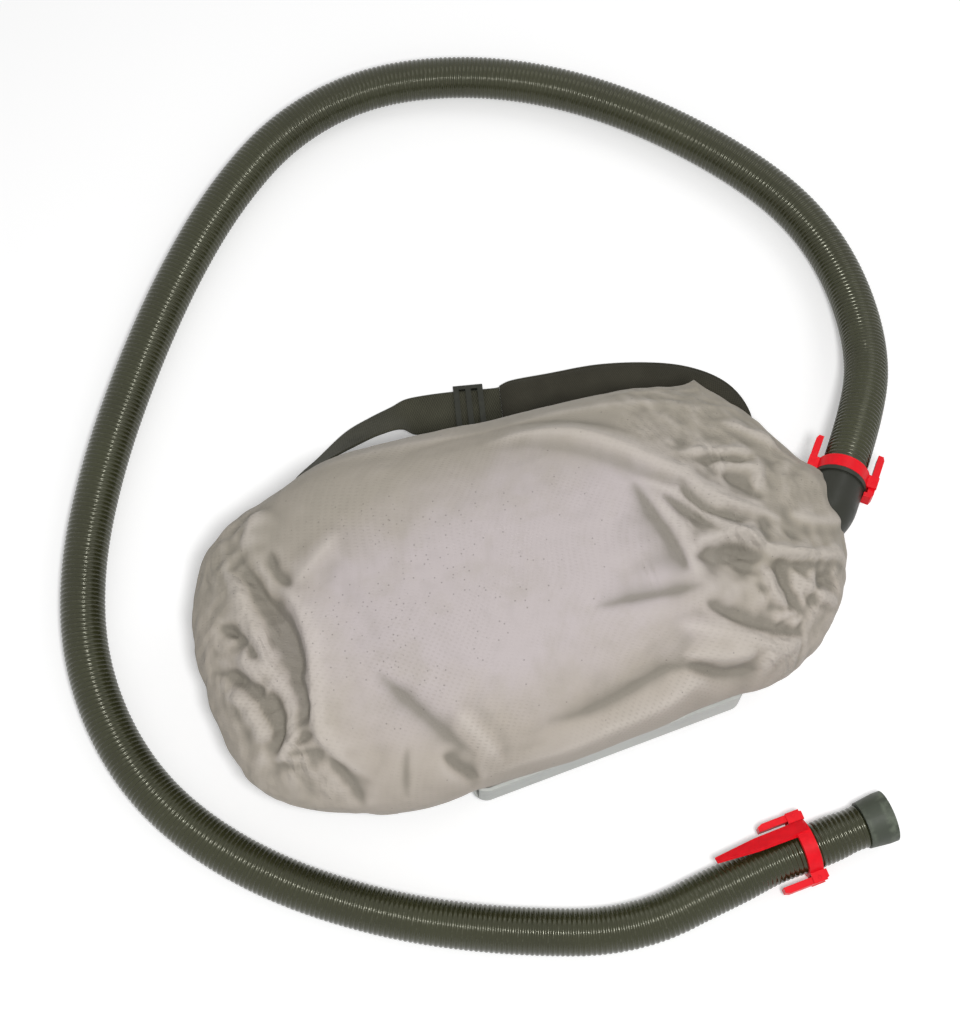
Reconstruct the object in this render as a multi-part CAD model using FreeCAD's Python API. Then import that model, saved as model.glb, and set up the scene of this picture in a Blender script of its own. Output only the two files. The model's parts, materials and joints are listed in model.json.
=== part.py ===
"""A soft-covered backpack vacuum cleaner lying on its harness, with its suction hose on the floor round it.

+X runs from the bottom end of the backpack to its inlet end, +Z is up, away from the wearer's back, and the
origin is on the floor under the middle of the base shell.  All lengths are millimetres.
"""
import FreeCAD
import Part
import math
import os

V = FreeCAD.Vector
X, Y, Z = V(1, 0, 0), V(0, 1, 0), V(0, 0, 1)

# ---- clearances ----
gap = 0.3            # between pieces that only sit next to each other
run_gap = 0.05       # radial, between a shaft or pin and its hole
slide_gap = 0.4      # round webbing in a slot and round a moving button
sunk = 0.5           # how far a moulded boss or wall reaches into what carries it

# ---- the stack from the floor up ----
pad_thick = 22.0     # foam back pads
plate_wall = 3.0     # harness plate and its side flanges
shell_wall = 3.0     # base shell floor and wall
shell_height = 45.0
plate_z = pad_thick
shell_z = plate_z + plate_wall
floor_z = shell_z + shell_wall

# ---- harness plate: a long panel with two flanged wings ----
panel_length = 400.0
panel_width = 210.0
panel_corner = 16.0
wing_length = 243.0
wing_width = 282.0
wing_x = 28.0        # middle of the wings
wing_corner = 12.0
wing_return = 5.0    # how far a flange turns in at its ends
flange_height = 36.0

# ---- base shell: an open tray with a lip under the cover's hem ----
shell_length = 480.0
shell_width = 236.0
shell_corner = 110.0
lip_reach = 4.0
lip_z = 38.0
lip_thick = 2.5
elastic_width = 4.0
vent_count = 7       # slots in the near wall that let the motor's air out
vent_start = -128.0
vent_pitch = 9.0
vent_width = 4.0
vent_sill = 3.0      # vents start this far above the lip
vent_head = 5.0      # and end this far below the rim

# ---- bag cover: outlines of its belly and of the levels above and below it ----
cover_wall = 1.6
cover_length = 548.0
belly_near = 144.0   # reach of the belly towards -Y
belly_far = 152.6    # reach towards +Y at the middle
belly_taper = 0.12   # the far side draws in towards the inlet end
belly_radii = (155.0, 115.0, 150.0, 135.0)   # near bottom, near inlet, far inlet, far bottom
hem_z = 31.0
skirt_slack = 13.0   # cover outside the shell wall, level with the flange
skirt_z = 58.0
belly_z = 95.0
dome_centre = (-5.0, 8.0)
waist_z = 76.0
waist_scale = 0.965
dome_top = 182.0
dome_steps = 9
dome_flat = 0.35     # how much of a step the crown is flat for
dome_shape = (0.77, 0.91)   # powers of the dome's cosine and sine: squarer as they fall
dome_fall = 1.02     # power of its cosine along X, where the slack ends fall away from the frame
dome_least = 0.62    # the smallest share of its scale across that it has along X

# ---- cover frame: two wire hoops and a ridge ----
wire_radius = 3.0
ridge_radius = 2.4
hoop_places = (-110.0, 90.0)
hoop_half_width = 100.0
hoop_top = 167.0
hoop_bend = 62.0
hoop_boss_radius = 6.5
hoop_boss_height = 30.0
hoop_foot_lift = 6.0
rail_size = (12.0, 10.0, 20.0)   # the shell's two rails that hold the bulkhead's foot

# ---- suction path ----
hose_outer = 38.0
hose_bore = 32.0
hose_valley = 34.6
rib_count = 200
rib_shares = (0.12, 0.3, 0.7, 0.88)   # where a rib's four circles lie in its pitch
hose_plain = 38.0    # straight and unribbed at each end
hose_first_run = 75.0
bore_steps = 300
socket_wall = 2.6
socket_bend = 36.0
inlet_z = 97.0
inlet_y = -33.0
inlet_inner_x = 198.0
port_turn = 48.0     # degrees, the outlet's heading from +X towards +Y
port_drop = 14.0     # degrees below the horizontal
port_corner_x = 262.0
port_reach = 42.0    # from the corner of the elbow's two axes to its mouth
socket_depth = 22.0
catch_rise = 1.6     # the collar round the mouth that the lock ring hooks behind
catch_width = 4.0
pedestal_setback = 6.0
pedestal_length = 24.0
pedestal_width = 30.0
gasket_thick = 2.0
cuff_seat = 20.0     # how far the hose cuff goes into the socket
cuff_stand = 14.0    # and how far it stands out

# ---- lock rings and their levers ----
band_width = 12.0
band_outer = 47.0
lever_tab = 31.0     # from the pin to the end of the press tab
lever_thick = 6.0
lever_width = 11.0
lever_hook = 15.0    # from the pin to the tip of a hook that holds the port's collar
lever_nose = 8.5     # and to the tip of a parked lever's nose
lever_bevel = 1.6
bevel_run = 4.0
port_clear = 4.6     # room for the ring and its levers in the cover's opening
pivot_radius = 27.6
pin_radius = 1.5
ear_wall = 2.2       # the cheeks that a lever rocks between
ear_cap = 2.0        # cheek above the pin
ear_root = 2.4       # and how far it reaches into the band
tongue_length = 76.0
tongue_straight = 40.0   # the tongue tapers past this
tongue_thick = 2.0
tongue_width = 14.0
tongue_tip = 6.0
tongue_rise = 1.2    # its tip stands off the ribs by this
tongue_root = 4.0    # how far its thick end reaches into the band's front half
tongue_step = 2.4
tongue_lean = 42.0   # degrees from the top towards the far side

# ---- tool end of the hose ----
tool_cuff_length = 24.0
tool_cuff_outer = 44.0
tool_cuff_neck = 40.0
tool_spigot = 14.0   # the part of the cuff that turns inside the hose
spigot_wall = 1.4
wand_bore = 33.0
wand_depth = 19.0
cuff_mouth = 7.0     # the cuff's straight mouth
cuff_step = 2.0      # the web between the cuff and its spigot
ring_setback = 46.0  # hose end to the tool end's lock ring

# ---- dust bag, filter and motor ----
bag_half_width = 90.0
bag_top = 156.0
bag_bottom = 36.0
bag_rear_x = -2.0
bag_paper = 1.2
bag_corner = 50.0
bag_end = (14.0, 12.0, 38.0)     # rear end: narrower, lower, and its corner
bag_end_run = 26.0   # length of the rear end's taper
bag_shoulder = 48.0  # the bag starts to draw in this far from its mouth
bag_throat = (16.0, 62.0, 46.0, 34.0)   # distance from the mouth, half width, half height, corner
bag_neck_draw = 4.0  # neck inside the collar's edge
bag_neck_corner = 14.0
bag_mouth = 6.0
collar_size = 64.0
collar_thick = 2.5
bulkhead_x = -28.0
bulkhead_thick = 4.0
bulkhead_top = 62.0  # radius of its head
bulkhead_key = 108.0 # half its width, where it stands in the shell's rails
bulkhead_drop = 14.0 # its foot ends this far below the motor's axis
motor_z = 92.0
filter_radius = 46.0
filter_thick = 10.0
filter_window = 40.0
filter_bars = (-20.0, 0.0, 20.0)
filter_bar = 2.4
retainer_wall = 2.5
seal_thick = 4.0
seal_draw = 8.0      # the motor seal's edge inside the housing's
fan_inlet = 22.0
motor_radius = 58.0
housing_wall = 2.5
housing_front_length = 63.0
housing_rear_length = 57.0
fan_radius = 48.0
fan_width = 12.0
fan_blades = 9
fan_disc = 1.5
fan_side_gap = 3.0
fan_eye_draw = 2.0   # front disc's eye inside the housing's inlet
fan_hub_wall = 4.0
blade_thick = 1.2
blade_sweep = 0.45   # radians from a blade's root to its tip
blade_trim = 0.1     # how far a blade's edges stay inside the discs' outer faces
shaft_radius = 4.0
shaft_clear = 1.0
bearing_radius = 11.0
bearing_width = 7.0
bearing_seat = 4.0   # wall round a bearing
exhaust = (8, 36.0, 9.0)         # holes in the rear face: count, ring radius, hole radius
diffuser_holes = (12, 47.0, 5.0) # and through the diffuser
diffuser_wall = 3.0
stator_radius = 40.0
stator_bore = 20.6
stator_length = 45.0
stator_setback = 5.0 # behind the front bearing
stator_lug = 10.0    # width of the four lugs that hold it
lug_root = 1.0
rotor_radius = 20.0
mount_thick = 3.0
mount_width = 9.0
saddle_width = 7.0
saddle_half = 52.0
saddle_top = 76.0
clamp_wall = 1.2
clamp_foot = 9.0
clamp_foot_root = 2.2

# ---- battery and electrics ----
battery_size = (58.0, 100.0, 64.0)
battery_x = -222.0
strap_band = 25.0
strap_wall = 1.6
strap_foot = 14.0
battery_corner = 4.0
board_size = (80.0, 28.0, 1.6)
board_corner = (-150.0, 63.0)
board_lift = 6.0
standoff_radius = 3.0
pilot_radius = 1.2
standoff_inset = 5.0
board_screw = (2.2, 1.6, 6.0)    # head radius, head height, shank length
coil_box = (14.0, 30.0, 6.0, 22.0, 12.0)    # from the board's corner: x, x, y, y, height
relay_box = (36.0, 46.0, 8.0, 20.0, 7.0)
capacitor = (58.0, 14.0, 5.0, 16.0)         # x, y, radius, height
solder = 0.01        # overlap that joins a part to the board
button_size = (15.0, 9.0)
button_stand = 2.0
button_x = -40.0
button_z = 40.0
button_travel = 1.2
button_hole = (button_size[0] + 2 * slide_gap, button_size[1] + 2 * slide_gap)
switch_depth = 4.6
switch_rim = 2.5
switch_back = 1.0
key_round = 1.0
charge_x = -68.0
charge_radius = 5.5
charge_bore = 2.8
charge_depth = 5.0
charge_lip = (2.0, 1.0)          # how far it stands out round the barrel, and its height
charge_back = 1.0
charge_pin = (0.8, 3.5)          # radius and length

# ---- webbing, pads and screws ----
webbing_width = 38.0
webbing_thick = 1.8
pad_foam = 10.0
clamp_size = (26.0, 46.0, 2.2)
slider_length = 27.0
slider_height = 6.4
slider_rim = 4.0
slider_bar = 5.0
screw_radius = 1.8
screw_head_radius = 3.6
screw_head = 1.8
screw_length = 8.0
slider_travel = 6.0
far_slider = (30.0, 205.5)
far_slider_turn = 165.0
near_slider = (-74.0, -108.0)
cushion_shape = ((1.0, 5.0), (0.75, 1.0), (0.4, 0.0), (0.12, 3.0), (0.0, 9.0))   # height share, drawn in by
flat_cut = 0.5       # where a soft pad is pressed flat by what it rests on
back_pad_half = 74.0
back_pad_round = 24.0
lumbar_span = (-192.0, -66.0)
upper_span = (-34.0, 138.0)

# A padded strap's section: shares of its half width and half thickness.
strap_pad_shape = ((-1, -0.3), (-0.86, -1), (0.86, -1), (1, -0.3), (1, 0.3),
                   (0.8, 0.85), (0.3, 1), (-0.3, 1), (-0.8, 0.85), (-1, 0.3))

# The shoulder pads' middle lines on the floor: x, y, heading and width.
far_pad_line = [(205, 73.3, 22, 40), (219, 81, 37, 50), (233, 96, 60, 56), (239, 114, 88, 56),
                (233, 134, 120, 56), (213, 152, 145, 56), (184, 166, 157, 56), (146, 178, 165, 56),
                (104, 187, 168, 52), (58, 198, 165, 44)]
near_pad_line = [(152.7, -108, 180, 46), (138, -108, 180, 52), (100, -108, 180, 52), (40, -108, 180, 52),
                 (0, -108, 180, 50), (-40, -108, 180, 44)]

# The webbing's loose runs: x, y, z, heading and tilt.  The far one turns onto its edge on its way round.
far_upper_run = [(195, 69.3, 14, 22, 0), (204.7, 73.2, 6, 22, 0)]
far_lower_start = (57.7, 198.1, 5, 165, 0)
far_lower_run = [(-22, 220, 4.2, 168, 0), (-56, 223, 8.6, 178, -22), (-90, 214, 13, 200, -40),
                 (-122, 192, 15.5, 222, -45), (-150, 160, 12, 245, -20), (-164, 128, 13, 268, 0)]
near_upper_run = [(172, -92, 13, 270, 0), (172, -108, 5.5, 270, 0), (172, -124, 5, 270, 0)]
near_lower_start = (-40.3, -108, 5, 180, 0)
near_lower_end = (-184, -108, 3.2, 180, 0)
near_fold_run = [(-165, -114, 12, 270, 0), (-165, -126, 4.46, 270, 0)]
run_spare = 2.0      # straight webbing past a slider's travel

# strap clamps under the plate: middle and heading of the strap, in degrees from +X
clamps = {"far_top": (172.0, 60.0, 22.0), "near_top": (172.0, -60.0, 270.0),
          "far_low": (-165.0, 88.0, 90.0), "near_low": (-165.0, -88.0, 270.0)}

# The hose's route after its straight start: points chosen by hand, each with the height of the hose's axis.
hose_route = [
    (386, 122, 40), (404, 204, 23), (394, 280, 19), (354, 354, 19), (288, 434, 19), (214, 492, 19),
    (134, 532, 19), (48, 549, 19), (-36, 532, 19), (-112, 486, 19), (-180, 422, 19), (-244, 344, 19),
    (-300, 262, 19), (-344, 180, 19), (-369, 98, 19), (-368, 14, 19), (-340, -62, 19), (-280, -134, 19),
    (-198, -200, 19), (-108, -247, 19), (-12, -280, 20), (90, -272, 23.5), (200, -272, 23.5),
]


# ---------------------------------------------------------------- small helpers
def box(x0, x1, y0, y1, z0, z1):
    return Part.makeBox(x1 - x0, y1 - y0, z1 - z0, V(x0, y0, z0))


def rod(start, axis, radius, length):
    return Part.makeCylinder(radius, length, start, axis)


def tube(start, axis, outer, inner, length):
    return rod(start, axis, outer, length).cut(rod(start, axis, inner, length))


def joined(shapes):
    out = shapes[0].fuse(shapes[1:]) if len(shapes) > 1 else shapes[0]
    return out.removeSplitter()


def rounded_loop(corners, radii, z, inset=0.0):
    """A closed counter-clockwise wire with an arc at each corner, all of it drawn in by inset."""
    count = len(corners)
    points = [V(c[0], c[1], z) for c in corners]
    ways = [(points[(i + 1) % count] - points[i]).normalize() for i in range(count)]
    moved = []
    for i in range(count):
        before, after = ways[i - 1], ways[i]
        bend = before.x * after.y - before.y * after.x
        inward = V(-before.y, before.x, 0)
        step = (1 - before.dot(after)) / bend
        moved.append(points[i] + (inward - before * step) * inset)
    edges, starts, ends = [], [], []
    for i in range(count):
        before, after = ways[i - 1], ways[i]
        turn = before.getAngle(after)
        radius = radii[i] - inset
        reach = radius * math.tan(turn / 2)
        first, last = moved[i] - before * reach, moved[i] + after * reach
        inner = (after - before).normalize()
        middle = moved[i] + inner * (radius / math.cos(turn / 2) - radius)
        edges.append((first, middle, last))
        starts.append(first)
        ends.append(last)
    wire = []
    for i in range(count):
        wire.append(Part.Arc(*edges[i]).toShape())
        wire.append(Part.LineSegment(ends[i], starts[(i + 1) % count]).toShape())
    return Part.Wire(wire)


def rounded_rectangle(length, width, corner, z, centre=(0.0, 0.0)):
    a, b = length / 2, width / 2
    cx, cy = centre
    corners = [(cx - a, cy - b), (cx + a, cy - b), (cx + a, cy + b), (cx - a, cy + b)]
    return rounded_loop(corners, (corner,) * 4, z)


def slab(wire, height):
    return Part.Face(wire).extrude(Z * height)


def placed(shape, origin, along, across):
    """The shape, moved so that its X runs along, and its Y across, from origin."""
    up = along.cross(across)
    matrix = FreeCAD.Matrix(along.x, across.x, up.x, origin.x, along.y, across.y, up.y, origin.y,
                            along.z, across.z, up.z, origin.z, 0, 0, 0, 1)
    out = shape.copy()
    out.Placement = FreeCAD.Placement(matrix).multiply(out.Placement)
    return out


# ---------------------------------------------------------------- routes of lines joined by tangent arcs
def route_pieces(points):
    """A route's lines and arcs, as (start, end, centre or None, radius), each arc as large as fits."""
    pieces, radii = [], []
    here = points[0]
    for before, corner, after in zip(points, points[1:], points[2:]):
        come, go = (corner - before), (after - corner)
        shorter = min(come.Length, go.Length)
        come, go = come.normalize(), go.normalize()
        turn = come.getAngle(go)
        reach = 0.45 * shorter
        radius = reach / math.tan(turn / 2)
        radii.append(radius)
        first, last = corner - come * reach, corner + go * reach
        centre = corner + (go - come).normalize() * (radius / math.cos(turn / 2))
        pieces.append((here, first, None, 0.0))
        pieces.append((first, last, centre, radius))
        here = last
    pieces.append((here, points[-1], None, 0.0))
    return pieces, radii


def piece_length(piece):
    start, end, centre, radius = piece
    if centre is None:
        return (end - start).Length
    return radius * (start - centre).getAngle(end - centre)


def stations(pieces, distances):
    """(point, tangent) at each distance along the route."""
    out, index, passed = [], 0, 0.0
    lengths = [piece_length(p) for p in pieces]
    for distance in distances:
        while index < len(pieces) - 1 and distance > passed + lengths[index]:
            passed += lengths[index]
            index += 1
        start, end, centre, radius = pieces[index]
        along = distance - passed
        if centre is None:
            way = (end - start).normalize()
            out.append((start + way * along, way))
            continue
        spoke = (start - centre).normalize()
        normal = spoke.cross(end - centre).normalize()
        side = normal.cross(spoke)
        angle = along / radius
        point = centre + (spoke * math.cos(angle) + side * math.sin(angle)) * radius
        out.append((point, side * math.cos(angle) - spoke * math.sin(angle)))
    return out


def ring_wire(point, way, radius):
    """A circle square to way, whose start always lies on its upper side."""
    up = (Z - way * Z.dot(way)).normalize()
    circle = Part.Circle(point, way, radius)
    circle.XAxis = up
    return Part.Wire([circle.toShape()])


def ribbon(sections):
    """A strap through sections (x, y, z, heading, tilt, width, thickness), angles in degrees."""
    wires = []
    for x, y, z, heading, tilt, width, thick in sections:
        turn = math.radians(heading)
        lean = math.radians(tilt)
        flat = V(-math.sin(turn), math.cos(turn), 0)
        across = flat * math.cos(lean) + Z * math.sin(lean)
        up = Z * math.cos(lean) - flat * math.sin(lean)
        middle = V(x, y, z)
        corners = [middle + across * (a * width / 2) + up * (b * thick / 2)
                   for a, b in ((-1, -1), (1, -1), (1, 1), (-1, 1))]
        wires.append(Part.makePolygon(corners + corners[:1]))
    return Part.makeLoft(wires, True, True)


# ---------------------------------------------------------------- inlet elbow and the hose's start
heading = math.radians(port_turn)
drop = math.radians(port_drop)
port_way = V(math.cos(drop) * math.cos(heading), math.cos(drop) * math.sin(heading), -math.sin(drop))
port_corner = V(port_corner_x, inlet_y, inlet_z)
port_mouth = port_corner + port_way * port_reach
socket_bore = hose_outer / 2 + gap
socket_outer = socket_bore + socket_wall
tool_way = X


# ---------------------------------------------------------------- harness
def strap_frame(name):
    """Where a clamp lies: its middle at the plate's underside, along the strap and across it."""
    x, y, turn = clamps[name]
    turn = math.radians(turn)
    return V(x, y, plate_z), V(math.cos(turn), math.sin(turn), 0), V(-math.sin(turn), math.cos(turn), 0)


def clamp_screw_places():
    """Two screws through each clamp, one at each edge of the webbing's middle."""
    places = []
    for name in clamps:
        middle, along, across = strap_frame(name)
        places += [middle + across * side * webbing_width / 4 for side in (-1, 1)]
    return places


def drilled(shape, places, radius, bottom, top):
    for place in places:
        shape = shape.cut(rod(V(place.x, place.y, bottom), Z, radius, top - bottom))
    return shape


def harness_plate():
    panel = slab(rounded_rectangle(panel_length, panel_width, panel_corner, plate_z), plate_wall)
    middle = (wing_x, 0.0)
    wings = slab(rounded_rectangle(wing_length, wing_width, wing_corner, plate_z, middle), flange_height)
    inside = slab(rounded_rectangle(wing_length - 2 * plate_wall, wing_width - 2 * plate_wall,
                                    wing_corner - plate_wall, shell_z, middle), flange_height)
    half = wing_width / 2 - wing_return
    ends = box(wing_x - wing_length, wing_x + wing_length, -half, half, shell_z, plate_z + flange_height)
    plate = joined([panel, wings.cut(inside).cut(ends)])
    plate = drilled(plate, clamp_screw_places(), screw_radius + gap, plate_z, shell_z)
    flange_y = wing_width / 2
    plate = plate.cut(box(button_x - button_hole[0] / 2, button_x + button_hole[0] / 2,
                          flange_y - plate_wall, flange_y, button_z - button_hole[1] / 2,
                          button_z + button_hole[1] / 2))
    return plate.cut(rod(V(charge_x, flange_y, button_z), -Y, charge_radius + gap, plate_wall))


def cushion(x0, x1, half, corner, top, bottom):
    """A padded block: widest at mid height, drawn in towards its flat upper face and crowned underneath."""
    middle, length, width = ((x0 + x1) / 2, 0.0), x1 - x0, 2 * half
    wires = [rounded_rectangle(length - 2 * inset, width - 2 * inset, corner - inset,
                               bottom + share * (top - bottom), middle) for share, inset in cushion_shape]
    return Part.makeLoft(wires, True, True)


def back_pad(span):
    pad = cushion(span[0], span[1], back_pad_half, back_pad_round, plate_z, -flat_cut)
    return pad.cut(box(span[0], span[1], -back_pad_half, back_pad_half, -flat_cut, 0))


def strap_clamp_plates():
    plates = []
    long_way, wide, thick = clamp_size
    top = -webbing_thick
    for name in clamps:
        middle, along, across = strap_frame(name)
        plate = box(-long_way / 2, long_way / 2, -wide / 2, wide / 2, top - thick, top)
        plates.append(placed(plate, middle, along, across))
    group = Part.makeCompound(plates)
    return drilled(group, clamp_screw_places(), screw_radius + gap, 0, plate_z)


def screw(foot):
    """A cap screw standing on its head at foot, its shank upwards."""
    head = rod(foot - Z * screw_head, Z, screw_head_radius, screw_head)
    return joined([head, rod(foot, Z, screw_radius, screw_length)])


def harness_screws():
    foot = plate_z - webbing_thick - clamp_size[2]
    return Part.makeCompound([screw(V(p.x, p.y, foot)) for p in clamp_screw_places()])


def strap_line(name, reach):
    """The webbing's sections in its clamp, from behind the screws to reach mm out."""
    middle, along, across = strap_frame(name)
    height = plate_z - webbing_thick / 2
    turn = clamps[name][2]
    ends = [middle + along * (-clamp_size[0] / 2), middle + along * reach]
    return [(p.x, p.y, height, turn, 0, webbing_width, webbing_thick) for p in ends]


def webbing(*places):
    """Ribbon sections of webbing through places (x, y, z, heading, tilt)."""
    return [(*place, webbing_width, webbing_thick) for place in places]


def pad_piece(sections):
    """A padded strap through (x, y, heading, width) sections, with a rounded edge and a crowned middle."""
    wires = []
    for x, y, turn, width in sections:
        turn = math.radians(turn)
        across = V(-math.sin(turn), math.cos(turn), 0)
        middle = V(x, y, pad_foam / 2)
        corners = [middle + across * (a * width / 2) + Z * (b * pad_foam / 2) for a, b in strap_pad_shape]
        wires.append(Part.makePolygon(corners + corners[:1]))
    return Part.makeLoft(wires, True, True)


def shoulder_pad_far():
    return pad_piece(far_pad_line)


def shoulder_pad_near():
    return pad_piece(near_pad_line)


def screwed(strap):
    """The strap with its holes for the clamp screws."""
    return drilled(strap, clamp_screw_places(), screw_radius + gap, plate_z - webbing_thick, plate_z)


def strap_webbing_far_upper():
    return screwed(ribbon(strap_line("far_top", clamp_size[0] / 2) + webbing(*far_upper_run)))


def slider_run(middle, heading):
    """Two webbing sections that hold it straight through a slider over all its travel."""
    turn = math.radians(heading)
    way = V(math.cos(turn), math.sin(turn), 0)
    reach = slider_length / 2 + slider_travel + run_spare
    first, last = V(*middle, 0) - way * reach, V(*middle, 0) + way * reach
    return webbing(*[(p.x, p.y, slider_height / 2, heading, 0) for p in (first, last)])


def strap_webbing_far_lower():
    clamped = strap_line("far_low", clamp_size[0] / 2)
    sections = webbing(far_lower_start) + slider_run(far_slider, far_slider_turn) + webbing(*far_lower_run)
    into_clamp = [(x, y, z, heading + 180, *rest) for x, y, z, heading, *rest in reversed(clamped)]
    return screwed(ribbon(sections + into_clamp))


def strap_webbing_near_upper():
    return screwed(ribbon(strap_line("near_top", clamp_size[0] / 2) + webbing(*near_upper_run)))


def strap_webbing_near_lower():
    lower = ribbon(webbing(near_lower_start) + slider_run(near_slider, 180) + webbing(near_lower_end))
    upper = ribbon(strap_line("near_low", clamp_size[0] / 2) + webbing(*near_fold_run))
    return screwed(joined([lower, upper]))


def strap_slider(middle, heading):
    """A three-bar slider: the webbing runs through it flat, under two windows."""
    half_long, half_wide = slider_length / 2, webbing_width / 2 + slider_rim
    body = box(-half_long, half_long, -half_wide, half_wide, 0, slider_height)
    tunnel_half = webbing_width / 2 + slide_gap
    room = webbing_thick / 2 + slide_gap
    low, high = slider_height / 2 - room, slider_height / 2 + room
    body = body.cut(box(-half_long, half_long, -tunnel_half, tunnel_half, low, high))
    window = (slider_length - 3 * slider_bar) / 2
    for start in (-half_long + slider_bar, slider_bar / 2):
        body = body.cut(box(start, start + window, -tunnel_half, tunnel_half, high, slider_height))
    turn = math.radians(heading)
    along, across = V(math.cos(turn), math.sin(turn), 0), V(-math.sin(turn), math.cos(turn), 0)
    return placed(body, V(*middle, 0), along, across)


# ---------------------------------------------------------------- base shell, cover frame and cover
def shell_outline(z, grow=0.0):
    return rounded_rectangle(shell_length + 2 * grow, shell_width + 2 * grow, shell_corner + grow, z)


def base_shell():
    top = shell_z + shell_height
    shell = slab(shell_outline(shell_z), shell_height)
    shell = shell.fuse(slab(shell_outline(lip_z, lip_reach), lip_thick))
    shell = shell.cut(slab(shell_outline(floor_z, -shell_wall), shell_height))
    root = floor_z - sunk
    fixtures = [rod(V(x, y, root), Z, hoop_boss_radius, hoop_boss_height)
                for x in hoop_places for y in (-hoop_half_width, hoop_half_width)]
    for x in saddle_places():
        half = saddle_width / 2
        saddle = box(x - half, x + half, -saddle_half, saddle_half, root, saddle_top)
        fixtures.append(saddle.cut(rod(V(x - half, 0, motor_z), X, mount_outer() + gap, saddle_width)))
    for x, y in standoff_places():
        fixtures.append(rod(V(x, y, root), Z, standoff_radius, board_lift + sunk))
    pedestal_x = inlet_inner_x + pedestal_setback
    pedestal = box(pedestal_x, pedestal_x + pedestal_length, inlet_y - pedestal_width / 2,
                   inlet_y + pedestal_width / 2, root, inlet_z)
    pedestal = pedestal.common(slab(shell_outline(root, -shell_wall / 2), dome_top))
    inlet = V(inlet_inner_x, inlet_y, inlet_z)
    fixtures.append(pedestal.cut(rod(inlet, X, socket_outer + gap, shell_length)))
    key_x = bulkhead_x + bulkhead_thick / 2
    for side in (-1, 1):
        y = side * bulkhead_key
        long_way, wide, high = rail_size
        half = long_way / 2
        rail = box(key_x - half, key_x + half, y - wide / 2, y + wide / 2, root, floor_z + high)
        slot = box(bulkhead_x - gap, bulkhead_x + bulkhead_thick + gap, y - wide, y + wide, floor_z, top)
        fixtures.append(rail.cut(slot))
    shell = joined([shell] + fixtures)
    for x in hoop_places:
        for y in (-hoop_half_width, hoop_half_width):
            shell = shell.cut(rod(V(x, y, floor_z + hoop_foot_lift), Z, wire_radius + run_gap, shell_height))
    for x, y in standoff_places():
        shell = shell.cut(rod(V(x, y, floor_z), Z, pilot_radius, board_lift))
    for index in range(vent_count):
        x = vent_start + index * vent_pitch
        shell = shell.cut(box(x, x + vent_width, -shell_width / 2, -shell_width / 2 + shell_wall,
                              lip_z + lip_thick + vent_sill, top - vent_head))
    return drilled(shell, clamp_screw_places(), screw_radius + run_gap, shell_z, screw_tip() + gap)


def screw_tip():
    return plate_z - webbing_thick - clamp_size[2] + screw_length


def mount_outer():
    return motor_radius + gap + mount_thick


def saddle_places():
    return (motor_x - housing_front_length / 2, motor_x - housing_front_length - housing_rear_length / 2)


def standoff_places():
    x0, y0 = board_corner
    inset = standoff_inset
    return [(x, y) for x in (x0 + inset, x0 + board_size[0] - inset)
            for y in (y0 + inset, y0 + board_size[1] - inset)]


def hoop(x):
    """A square-shouldered hoop of wire, its feet in the shell's bosses."""
    foot = floor_z + hoop_foot_lift + gap
    half, top, bend = hoop_half_width, hoop_top, hoop_bend
    corner = bend * (1 - math.cos(math.pi / 4))
    shape = Part.Wire([
        Part.LineSegment(V(x, -half, foot), V(x, -half, top - bend)).toShape(),
        Part.Arc(V(x, -half, top - bend), V(x, -half + corner, top - corner),
                 V(x, -half + bend, top)).toShape(),
        Part.LineSegment(V(x, -half + bend, top), V(x, half - bend, top)).toShape(),
        Part.Arc(V(x, half - bend, top), V(x, half - corner, top - corner),
                 V(x, half, top - bend)).toShape(),
        Part.LineSegment(V(x, half, top - bend), V(x, half, foot)).toShape()])
    start = Part.Wire([Part.Circle(V(x, -half, foot), Z, wire_radius).toShape()])
    return shape.makePipeShell([start], True, False)


def cover_frame():
    rear, front = hoop_places
    ridge = rod(V(rear, 0, hoop_top), X, ridge_radius, front - rear)
    return joined([hoop(rear), hoop(front), ridge])


def hem_elastic():
    z = lip_z - gap - elastic_width
    outer = slab(shell_outline(z, gap + elastic_width), elastic_width)
    return outer.cut(slab(shell_outline(z, gap), elastic_width))


def belly_loop(along, across, z, inset=0.0):
    """The cover's outline, wider at its bottom end, where its far side bulges, scaled along X and across."""
    half = cover_length / 2
    corners = [(-half, -belly_near), (half, -belly_near), (half, belly_far - belly_taper * half),
               (-half, belly_far + belly_taper * half)]
    cx, cy = dome_centre
    corners = [(cx + (x - cx) * along, cy + (y - cy) * across) for x, y in corners]
    return rounded_loop(corners, [r * across for r in belly_radii], z, inset)


def cover_solid(inset, drop):
    hem = gap + elastic_width + gap + cover_wall
    wires = [shell_outline(hem_z - drop, hem - inset), shell_outline(lip_z, hem - inset),
             shell_outline(skirt_z, skirt_slack - inset),
             belly_loop(waist_scale, waist_scale, waist_z, inset), belly_loop(1.0, 1.0, belly_z, inset)]
    for step in range(1, dome_steps + 1):
        turn = math.pi / 2 * step / (dome_steps + dome_flat)
        height = belly_z + (dome_top - belly_z) * math.sin(turn) ** dome_shape[1]
        across = math.cos(turn) ** dome_shape[0]
        along = max(math.cos(turn) ** dome_fall, dome_least * across)
        wires.append(belly_loop(along, across, height - drop, inset))
    return Part.makeLoft(wires, True, True)


def filter_cover():
    cover = cover_solid(0.0, 0.0).cut(cover_solid(cover_wall, cover_wall))
    cover = cover.cut(elbow_core(socket_outer + catch_rise + gap))
    reach = lever_hook + 2 * port_clear
    room = pivot_radius + lever_thick / 2 + port_clear
    return cover.cut(rod(body_ring_centre - port_way * reach, port_way, room, 2 * reach))


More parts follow.
